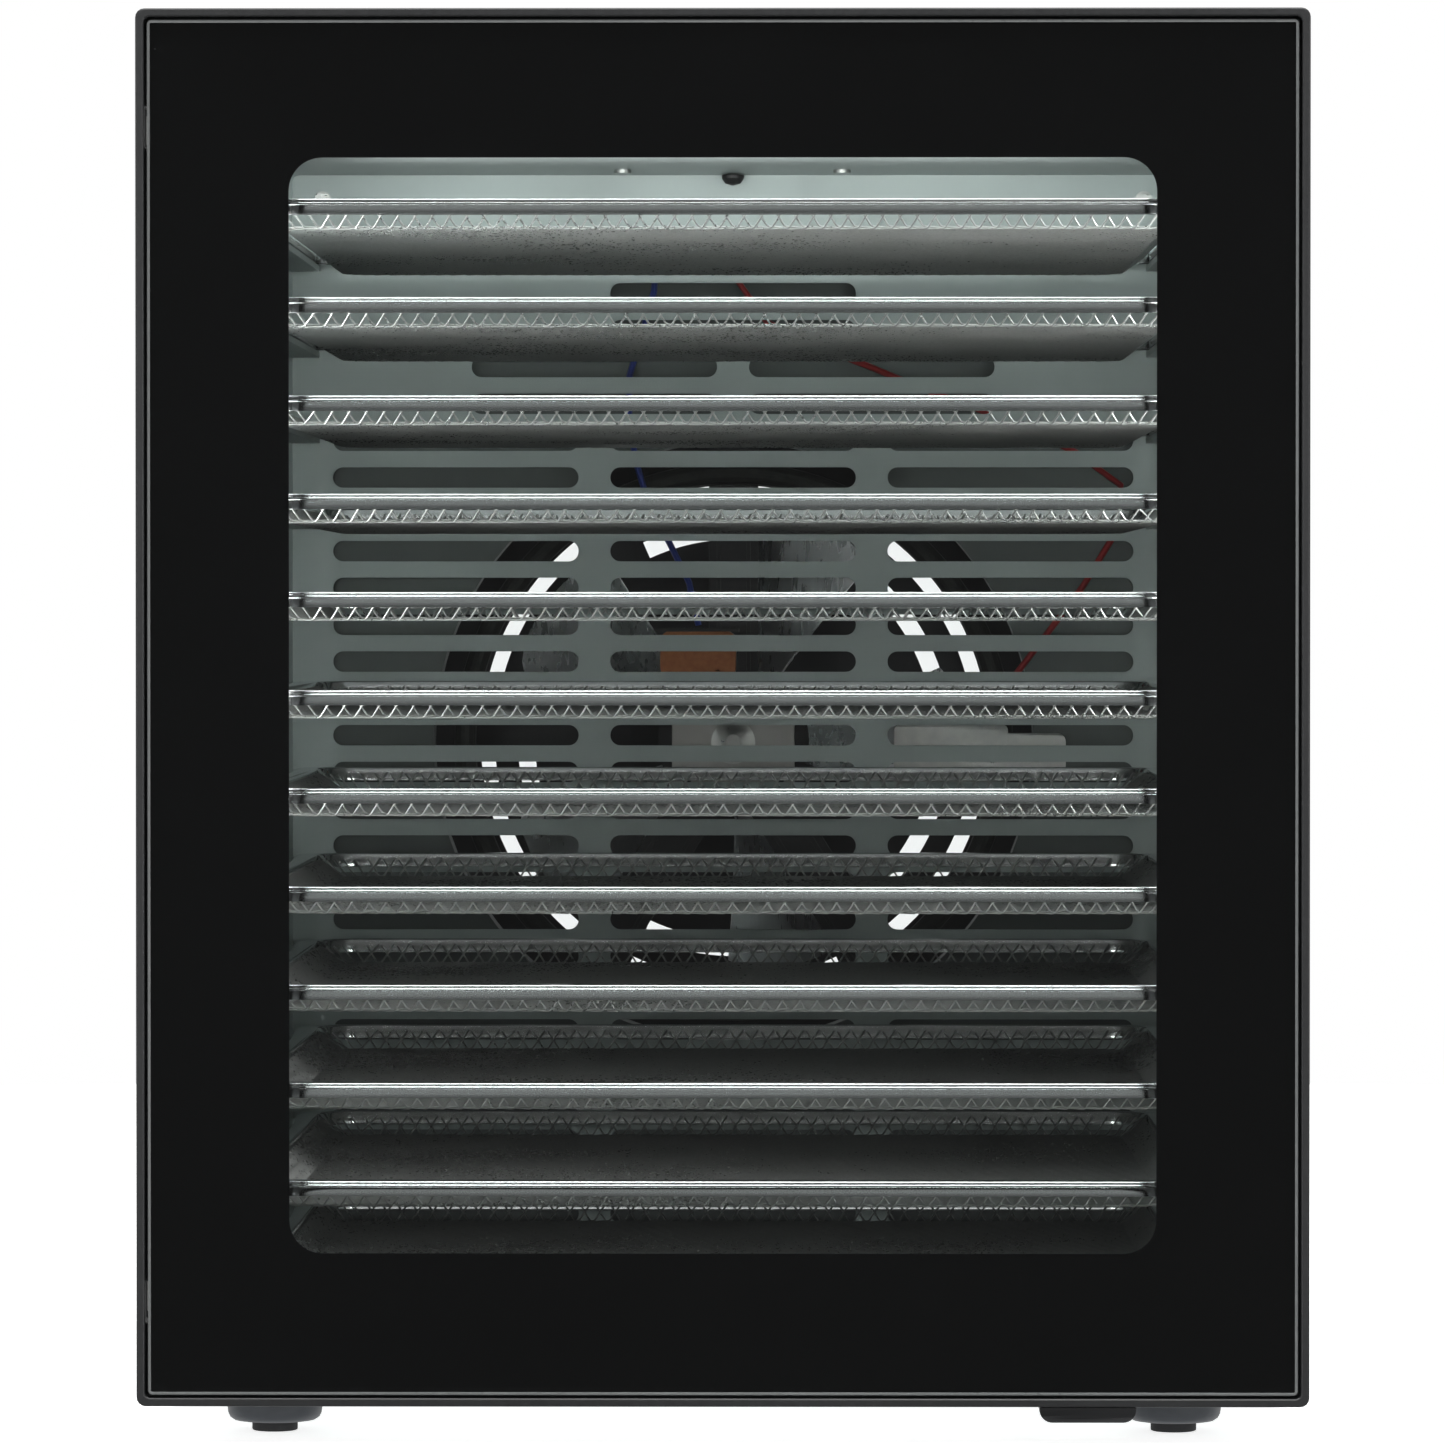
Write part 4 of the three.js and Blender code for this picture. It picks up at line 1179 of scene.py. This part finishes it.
# %% [markdown]
# The back is a shallow box: a sheet with two rings of vents in line with the fan, a gap for the inlet and
# four bolt holes, and a rim folded forward at its edge that fits the case.

# %% Back cover
FAN_HEIGHT = 201 * MM
SHEET = 1.5 * MM
INLET_X = -125 * MM
INLET_HEIGHT = 48 * MM
back_low, back_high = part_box("rear_cover")
back_edge = rounded(back_low.x, back_high.x, back_low.z, back_high.z, 3 * MM)
back_inside = rounded(
    back_low.x + SHEET, back_high.x - SHEET, back_low.z + SHEET, back_high.z - SHEET, 1.5 * MM
)
socket_gap = rounded(
    INLET_X - 13.8 * MM, INLET_X + 13.8 * MM, INLET_HEIGHT - 10.1 * MM, INLET_HEIGHT + 10.1 * MM, 0.3 * MM
)
bolt_holes = [circle(x * MM, z * MM, 2.1 * MM, 20) for x in (-96.5, 96.5) for z in (134.4, 267.6)]
back_sheet = vents.make(
    "back_sheet",
    {
        "Back": back_high.y,
        "Thickness": SHEET,
        "Centre Height": FAN_HEIGHT,
        "Inner Radius": 73 * MM,
        "Inner Width": 6 * MM,
        "Outer Radius": 86.5 * MM,
        "Outer Width": 5 * MM,
        "Sweep": math.radians(50),
        "Count": 6,
        "Material": case_paint,
    },
    outline_mesh("back_edge", [back_edge, socket_gap, *bolt_holes]),
)
bevelled(outward(back_sheet), 0.3 * MM)
back_rim = plate("back_rim", [back_edge, back_inside], back_low.y, back_high.y - 0.4 * MM, bevel=0.3 * MM)
wear(joined("back_cover", [back_sheet, back_rim]), case_paint, "cabinet", "case_paint", "rear_cover")

# %% [markdown]
# ## Fan compartment
# A ring heater runs around the fan, and the motor hangs in the middle on three black legs. Much of it
# shows through the slots: the heater as a dark ring, the legs, the copper winding and the bright blades.

# %% Shroud and heater
shroud_low, shroud_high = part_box("fan_shroud")
OPENING = 103 * MM
shroud_sheet = plate(
    "shroud_sheet",
    [
        rounded(shroud_low.x, shroud_high.x, shroud_low.z, shroud_high.z, 2 * MM),
        circle(0, FAN_HEIGHT, OPENING, 96),
    ],
    shroud_low.y,
    shroud_low.y + 1.2 * MM,
)
collar = plate(
    "shroud_collar",
    [circle(0, FAN_HEIGHT, OPENING + 1.2 * MM, 96), circle(0, FAN_HEIGHT, OPENING, 96)],
    shroud_low.y + 0.1 * MM,
    shroud_high.y,
)
# The shroud wears the darkened galvanised steel, a painted shade.
wear(joined("shroud", [shroud_sheet, collar]), painted_shade_steel, "cabinet", "galvanised", "fan_shroud")

HEATER_RING = 92.3 * MM
HEATER_TUBE = 3.75 * MM
HEATER_DEPTH = 172 * MM
tube_profile = circle(0, HEATER_DEPTH, HEATER_TUBE, 16)
ring = swept(
    "heater_ring", lambda inset: circle(0, FAN_HEIGHT, HEATER_RING - inset, 120), tube_profile, "Y", 60
)
terminals = []
for degrees in (198, 212):
    turn = math.radians(degrees)
    spot = (HEATER_RING * math.cos(turn), FAN_HEIGHT + HEATER_RING * math.sin(turn))
    steps = [(0, 172), (3, 172), (3, 190), (2.2, 190.4), (2.2, 194), (1.2, 194.4), (1.2, 200), (0, 200)]
    terminals.append(turned("terminal", in_mm(steps), spot, "Y", 24))
wear(joined("heater", [ring, *terminals]), heater_metal, "cabinet", "heater_metal", "heater_coil")
print("heater terminals:", len(terminals))

# %% [markdown]
# The motor is a stack of thin steel plates with a wound coil on its upper leg, the cheapest kind for a
# small fan. The plates are cut in one outline and the coil is a rounded bobbin.

# %% Motor
SHAFT_BORE = 3 * MM


def bored_disc(name, steps):
    """A disc round the fan's axis with a bore for its shaft, from (radius, depth) steps in millimetres."""
    profile = [(0.03 - radius * MM, depth * MM) for radius, depth in steps]
    return swept(name, lambda inset: circle(0, FAN_HEIGHT, 0.03 - inset, 64), profile, "Y")


def at_fan(points):
    return [(x * MM, FAN_HEIGHT + z * MM) for x, z in points]


core = plate(
    "core",
    [
        at_fan([(-21, -18), (21, -18), (21, 18), (-21, 18)]),
        circle(-16 * MM, FAN_HEIGHT - 13 * MM, 1.6 * MM, 16),
        circle(16 * MM, FAN_HEIGHT - 13 * MM, 1.6 * MM, 16),
        circle(0, FAN_HEIGHT, SHAFT_BORE, 24),
    ],
    158 * MM,
    173.5 * MM,
    bevel=0.4 * MM,
)
neck = plate("neck", [at_fan([(-20, 17), (-4, 17), (-4, 22), (-20, 22)])], 160 * MM, 172 * MM)
wear(joined("motor_core", [core, neck]), lamination, "cabinet", "motor_metal", "fan_motor")
coil = plate(
    "motor_coil",
    [rounded(-25 * MM, 1 * MM, FAN_HEIGHT + 22 * MM, FAN_HEIGHT + 38 * MM, 3.5 * MM)],
    157.4 * MM,
    174.4 * MM,
    bevel=2.6 * MM,
    segments=4,
)
wear(coil, copper, "cabinet", "motor_metal")
cheeks = [
    plate(
        "cheek",
        [rounded(-26 * MM, 2 * MM, FAN_HEIGHT + low * MM, FAN_HEIGHT + (low + 1.2) * MM, 0.5 * MM)],
        156 * MM,
        175.5 * MM,
    )
    for low in (21, 37.8)
]
wear(joined("coil_cheeks", cheeks), black_plastic, "cabinet", "black_plastic")
front_boss = [(0, 155.5), (2.6, 155.5), (5.5, 156.6), (7.5, 156.9), (7.5, 158.2), (0, 158.2)]
bosses = [
    turned("front_boss", in_mm(front_boss), (0, FAN_HEIGHT), "Y", 40),
    bored_disc("back_boss", [(3, 173.2), (12, 173.2), (12, 174.4), (9, 176.3), (3, 176.3)]),
]
wear(joined("motor_bosses", bosses), zinc, "cabinet", "bright_metal")
print("motor parts:", 3 + len(cheeks) + len(bosses))

# %% [markdown]
# The motor hangs on a black stamped bracket: a round hub and three legs that reach the shroud's edge. Each
# leg has two pressed ribs, which keep thin sheet stiff.

# %% Legs that carry the motor
LEG = 17 * MM
legs = [bored_disc("hub", [(3, 176.5), (26, 176.5), (26, 178.7), (3, 178.7)])]
for degrees in (90, -58, -122):
    turn = math.radians(degrees)
    out = Vector((math.cos(turn), math.sin(turn)))
    side = Vector((-out.y, out.x)) * LEG / 2
    reach = out * (OPENING - 0.3 * MM)
    corners = [side + out * 8 * MM, side + reach, reach - side, out * 8 * MM - side]
    outline = [(corner.x, corner.y + FAN_HEIGHT) for corner in corners]
    legs.append(plate("leg", [outline], 176.6 * MM, 178.6 * MM, bevel=0.5 * MM))
    for offset in (-6, 6):
        ends = ((24, 0.08), (98, 0.08), (98, -0.08), (24, -0.08))
        rib = [side * offset / 10 + out * a * MM + side * b for a, b in ends]
        outline = [(corner.x, corner.y + FAN_HEIGHT) for corner in rib]
        legs.append(plate("rib", [outline], 176.2 * MM, 176.9 * MM, bevel=0.15 * MM))
wear(joined("bracket", legs), black_metal, "cabinet", "black_metal", "motor_bracket")
print("legs and ribs:", len(legs) - 1)

# %% [markdown]
# The fan's blades are stamped from thin aluminium and twisted: flatter at the tip, steeper at the hub.

# %% Fan
BLADES = 5
BLADE_TIP = 80.5 * MM
BLADE_ROOT = 11 * MM
BLADE_MIDDLE = 191 * MM


def fan_blade(turn):
    rows, columns = 12, 10
    verts, faces = [], []
    for row in range(rows + 1):
        share = row / rows
        radius = BLADE_ROOT + (BLADE_TIP - BLADE_ROOT) * share
        half = 0.34 - 0.05 * (1 - share) if share > 0.1 else 0.3
        pitch = math.radians(36 - 18 * share)
        for column in range(columns + 1):
            angle = half * (2 * column / columns - 1)
            round_off = 1 - 0.06 * (abs(angle) / half) ** 4 * share
            along = radius * round_off
            depth = BLADE_MIDDLE + along * math.sin(angle) * math.tan(pitch)
            verts.append((along * math.cos(angle + turn), depth, FAN_HEIGHT + along * math.sin(angle + turn)))
    for row in range(rows):
        for column in range(columns):
            a = row * (columns + 1) + column
            faces.append((a, a + 1, a + columns + 2, a + columns + 1))
    mesh = bpy.data.meshes.new("blade")
    mesh.from_pydata(verts, [], faces)
    blade = new_object("blade", mesh)
    thick = blade.modifiers.new("thick", "SOLIDIFY")
    thick.thickness = 1 * MM
    thick.offset = 0
    return bevelled(blade, 0.3 * MM)


hub_profile = [(0, 181.2), (9, 181.2), (14, 182.6), (14, 200), (12, 200.9), (5, 200.9)]
hub_profile += [(5, 203.4), (0, 203.8)]
hub = turned("fan_hub", in_mm(hub_profile), (0, FAN_HEIGHT), "Y", 48, bevel=0.3 * MM)
shaft_profile = [(0, 160), (2.4, 160), (2.4, 185), (0, 185)]
shaft = turned("fan_shaft", in_mm(shaft_profile), (0, FAN_HEIGHT), "Y", 24)
blades = [fan_blade(2 * math.pi * blade / BLADES) for blade in range(BLADES)]
fan = outward(joined("fan_blades", [hub, shaft, *blades]))
wear(fan, fan_metal, "fan", "fan_aluminium", "fan_rotor")
print("blades:", len(blades))

# %% [markdown]
# The wires end under a small bright cover beside the fan. It is a folded box with a tab and one screw hole.

# %% Terminal box
box_low, box_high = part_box("terminal_box")
case_part = plate(
    "terminal_case",
    [rounded(55 * MM, 94 * MM, FAN_HEIGHT - 14 * MM, FAN_HEIGHT + 6 * MM, 2 * MM)],
    box_low.y,
    box_low.y + 7.5 * MM,
    bevel=1.2 * MM,
    segments=3,
)
tab = plate(
    "terminal_tab",
    [
        rounded(88 * MM, 114 * MM, FAN_HEIGHT - 11 * MM, FAN_HEIGHT + 3 * MM, 3 * MM),
        circle(109 * MM, FAN_HEIGHT - 4 * MM, 1.6 * MM, 20),
    ],
    164.3 * MM,
    box_high.y,
)
wear(joined("terminal_cover", [case_part, tab]), zinc, "cabinet", "bright_metal", "terminal_box")
print("terminal cover width, mm:", round((box_high.x - box_low.x) / MM, 1))

# %% [markdown]
# ## Controls, inlet and feet
# The panel is a gloss black plate let into the top, with a tinted window over the display and four round
# keys. The keys carry plain signs: a ring with a stroke, three bars, a minus and a plus.

# %% Panel and display
panel_low, panel_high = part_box("control_panel")
PANEL_SHEET = 1.2 * MM
KEY_XS = [-60 * MM, -36 * MM, 36 * MM, 60 * MM]
KEY_Y = -155 * MM
panel_outline = rounded(panel_low.x, panel_high.x, panel_low.y, panel_high.y, 6 * MM, 12)
key_holes = [circle(x, KEY_Y, 7.3 * MM) for x in KEY_XS]
display_hole = rounded(-24 * MM, 24 * MM, KEY_Y - 10 * MM, KEY_Y + 10 * MM, 2.5 * MM)
face = plate(
    "panel_face",
    [panel_outline, *key_holes, display_hole],
    panel_high.z - PANEL_SHEET,
    panel_high.z,
    axis="Z",
    bevel=0.4 * MM,
    segments=2,
)
posts = [
    turned("post", [(0, 0.4119), (0.0025, 0.4119), (0.0025, 0.4232), (0, 0.4232)], (x * MM, y * MM), "Z", 16)
    for x in (-68, 68)
    for y in (-179, -131)
]
wear(joined("panel", [face, *posts]), panel_gloss, "cabinet", "panel_plastic", "control_panel")
tint = plate(
    "display_tint",
    [rounded(-23.9 * MM, 23.9 * MM, KEY_Y - 9.9 * MM, KEY_Y + 9.9 * MM, 2.4 * MM)],
    panel_high.z - 1 * MM,
    panel_high.z - 0.25 * MM,
    axis="Z",
    bevel=0.15 * MM,
)
wear(tint, display_dark, "cabinet", "panel_plastic")
print("key openings:", len(key_holes))

# %% [markdown]
# The display has four digits of seven bars each. They are off, so they are only a shade lighter than the
# tinted window.

# %% Unlit digits
DIGIT_TOP = panel_high.z - 0.24 * MM


def bar(x, y, along, across):
    low, high = DIGIT_TOP - 0.1 * MM, DIGIT_TOP
    outline = rounded(x - along, x + along, y - across, y + across, min(along, across) * 0.9, 3)
    return plate("bar", [outline], low, high, "Z", 0)


bars = []
for middle in (-16.5, -6.5, 6.5, 16.5):
    for y in (-6, 0, 6):
        bars.append(bar(middle * MM, KEY_Y + y * MM, 2.3 * MM, 0.5 * MM))
    for x in (-3, 3):
        for y in (-3, 3):
            bars.append(bar((middle + x) * MM, KEY_Y + y * MM, 0.5 * MM, 2.3 * MM))
for y in (-2.5, 2.5):
    bars.append(bar(0, KEY_Y + y * MM, 0.6 * MM, 0.6 * MM))
wear(joined("digits", bars), digit_grey, "cabinet", "panel_plastic")
print("bars in the display:", len(bars))

# %% [markdown]
# The keys are turned caps with a shallow dish in the top, and they stand just above the panel. Each sign is
# built of thin flat strokes that lie in the dish.

# %% Keys and their signs
KEY_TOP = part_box("button_power")[1].z


def sign(name, x):
    low, high = KEY_TOP - 0.3 * MM, KEY_TOP - 0.12 * MM

    def stroke(dx, dy, along, across):
        a, b = x + dx * MM, KEY_Y + dy * MM
        outline = rounded(a - along * MM, a + along * MM, b - across * MM, b + across * MM, 0.2 * MM, 3)
        return plate("stroke", [outline], low, high, "Z", 0)

    if name == "power":
        open_ring = arc_slot(x, KEY_Y, 2.2 * MM, 2.8 * MM, math.radians(125), math.radians(415), 32)
        return [plate("open_ring", [open_ring], low, high, "Z", 0), stroke(0, 2.2, 0.3, 1.4)]
    if name == "mode":
        return [stroke(0, dy, 2.4, 0.3) for dy in (-1.6, 0, 1.6)]
    if name == "minus":
        return [stroke(0, 0, 2.6, 0.35)]
    return [stroke(0, 0, 2.6, 0.35), stroke(0, 1.5, 0.35, 1.1), stroke(0, -1.5, 0.35, 1.1)]


for x, name in zip(KEY_XS, ("power", "mode", "minus", "plus")):
    profile = [(0, 414), (4, 414), (4, 418), (8.2, 418), (8.2, 419.5), (7, 419.5), (7, 424.0)]
    profile += [(6.7, 424.5), (6.1, 424.7), (5.4, 424.62), (3, 424.5), (0, 424.45)]
    cap = turned("key_" + name, in_mm(profile), (x, KEY_Y), "Z", 64, angle=50)
    wear(cap, button_matt, "button_" + name, "button_plastic", "button_" + name)
    wear(joined("sign_" + name, sign(name, x)), white_print, "button_" + name, "button_plastic")


print("keys:", len(KEY_XS))

# %% [markdown]
# The mains inlet is a moulded flange with a deep socket and three flat contacts. No lead is plugged in.

# %% Inlet
inlet_low, inlet_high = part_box("power_inlet")


def at_inlet(half_x, half_z, radius):
    left, right = INLET_X - half_x * MM, INLET_X + half_x * MM
    low, high = INLET_HEIGHT - half_z * MM, INLET_HEIGHT + half_z * MM
    return rounded(left, right, low, high, radius * MM)


socket = at_inlet(12.2, 8.3, 2)
flange_holes = [circle(INLET_X + side * 20 * MM, INLET_HEIGHT, 1.7 * MM, 24) for side in (-1, 1)]
inlet_pieces = [
    plate(
        "flange",
        [at_inlet(25, 12, 6), socket, *flange_holes],
        222.3 * MM,
        inlet_high.y,
        bevel=0.6 * MM,
        segments=3,
    ),
    plate("socket_wall", [at_inlet(13.5, 9.8, 3), socket], inlet_low.y + 0.1 * MM, inlet_high.y - 1 * MM),
    plate("socket_floor", [at_inlet(13.4, 9.7, 3)], inlet_low.y, 208 * MM),
]
wear(joined("inlet", inlet_pieces), black_plastic, "cabinet", "black_plastic", "power_inlet")


def contact_blade(x, z):
    left, low = INLET_X + (x - 1) * MM, INLET_HEIGHT + (z - 2) * MM
    outline = rounded(left, left + 2 * MM, low, low + 4 * MM, 0.3 * MM)
    return plate("contact", [outline], 207.5 * MM, 222 * MM, bevel=0.4 * MM)


contact_blades = [contact_blade(x, z) for x, z in ((-7, -1), (0, 3), (7, -1))]
wear(joined("inlet_contacts", contact_blades), polished_steel, "cabinet", "polished_steel")
print("contacts in the inlet:", len(contact_blades))

# %% [markdown]
# The feet are moulded cups with a soft pad pressed into each. They are turned from a profile, because the
# camera sees their stepped outline. Front and back feet are alike.

# %% Feet
FOOT_CUP = [(0, 3), (10.6, 3), (12.2, 3.25), (13.4, 4.1), (14.0, 5.3), (14.2, 6.6)]
FOOT_CUP += [(14.2, 11.0), (13.9, 11.5), (0, 11.5)]
FOOT_PAD = [(0, 0), (6.3, 0), (6.75, 0.2), (6.85, 0.6), (6.85, 2.7), (0, 2.7)]
feet = [end + "_" + side for side in ("left", "right") for end in ("front", "back")]
for place in feet:
    low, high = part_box("foot_cup_" + place)
    centre = ((low.x + high.x) / 2, (low.y + high.y) / 2)
    cup = turned("cup_" + place, in_mm(FOOT_CUP), centre, "Z", 72, angle=50)
    wear(cup, foot_plastic, "cabinet", "foot_plastic", "foot_cup_" + place)
    pad = turned("pad_" + place, in_mm(FOOT_PAD), centre, "Z", 48, angle=50)
    wear(pad, rubber, "cabinet", "black_rubber", "foot_pad_" + place)
print("feet:", len(feet))

# %% [markdown]
# ## Screws
# Small pan-head screws with a cross hold the sheets together. One head is made once, and a tree sets a
# copy at every point it is given, turned to the way that point faces.

# %% Screw tree
screws = ShapeTree(
    "screw_heads",
    [("Head", "Object", None), ("Size", "Float", 1.0), ("Material", "Material", None)],
)
head = screws.node("GeometryNodeObjectInfo", {"Object": screws.source["Head"]}).outputs["Geometry"]
facing = screws.node(
    "GeometryNodeInputNamedAttribute", {"Name": "facing"}, data_type="FLOAT_VECTOR"
).outputs[0]
turn = screws.node("FunctionNodeAlignRotationToVector", {"Vector": facing}, axis="Z").outputs[0]
screw_spread = screws.node(
    "GeometryNodeInstanceOnPoints",
    {"Points": screws.source["Geometry"], "Instance": head, "Rotation": turn, "Scale": screws.source["Size"]},
)
screws.end(screw_spread.outputs[0], screws.source["Material"])

cross = []
for quarter in range(4):
    turn_by = Matrix.Rotation(math.pi / 2 * quarter, 2)
    arm = ((0.35 * MM, 0.35 * MM), (0.35 * MM, 1.6 * MM), (-0.35 * MM, 1.6 * MM))
    cross += [turn_by @ Vector(spot) for spot in arm]
cross = [(spot.x, spot.y) for spot in cross]
screw_head = joined(
    "screw_head",
    [
        plate("head_top", [circle(0, 0, 2.9 * MM, 20), cross], 0.55 * MM, 1.1 * MM, "Z", 0.2 * MM),
        plate("head_base", [circle(0, 0, 2.9 * MM, 20)], 0.02 * MM, 0.56 * MM, "Z", 0.1 * MM),
    ],
)


def screw_points(spots):
    """Each spot is its place in millimetres and the way its head faces."""
    mesh = bpy.data.meshes.new("screw_points")
    mesh.from_pydata([tuple(c * MM for c in place) for place, _ in spots], [], [])
    facing_data = mesh.attributes.new("facing", "FLOAT_VECTOR", "POINT")
    for index, (_, way) in enumerate(spots):
        facing_data.data[index].vector = way
    return mesh


BACK_WAY = (0, 1, 0)
FRONT_WAY = (0, -1, 0)
DOWN_WAY = (0, 0, -1)
cover_y = back_high.y / MM
dark_spots = [((x, cover_y, z), BACK_WAY) for x in (-160, -55, 55, 160) for z in (24, 410)]
dark_spots += [((x, cover_y, z), BACK_WAY) for x in (-160, 160) for z in (150, 290)]
bright_spots = [((-37, 118, 394.4), DOWN_WAY), ((37, 118, 394.4), DOWN_WAY)]
bright_spots += [((x, 149.9 + 0.3, z), FRONT_WAY) for x in (-140, 140) for z in (28, 386)]
for spots, material, slot, name in (
    (dark_spots, black_metal, "black_metal", "cover_screws"),
    (bright_spots, zinc, "bright_metal", "cavity_screws"),
):
    made = screws.make(name, {"Head": screw_head, "Size": 1.0, "Material": material}, screw_points(spots))
    wear(outward(made), material, "cabinet", slot)
bpy.data.objects.remove(screw_head)
print("screws:", len(dark_spots) + len(bright_spots))
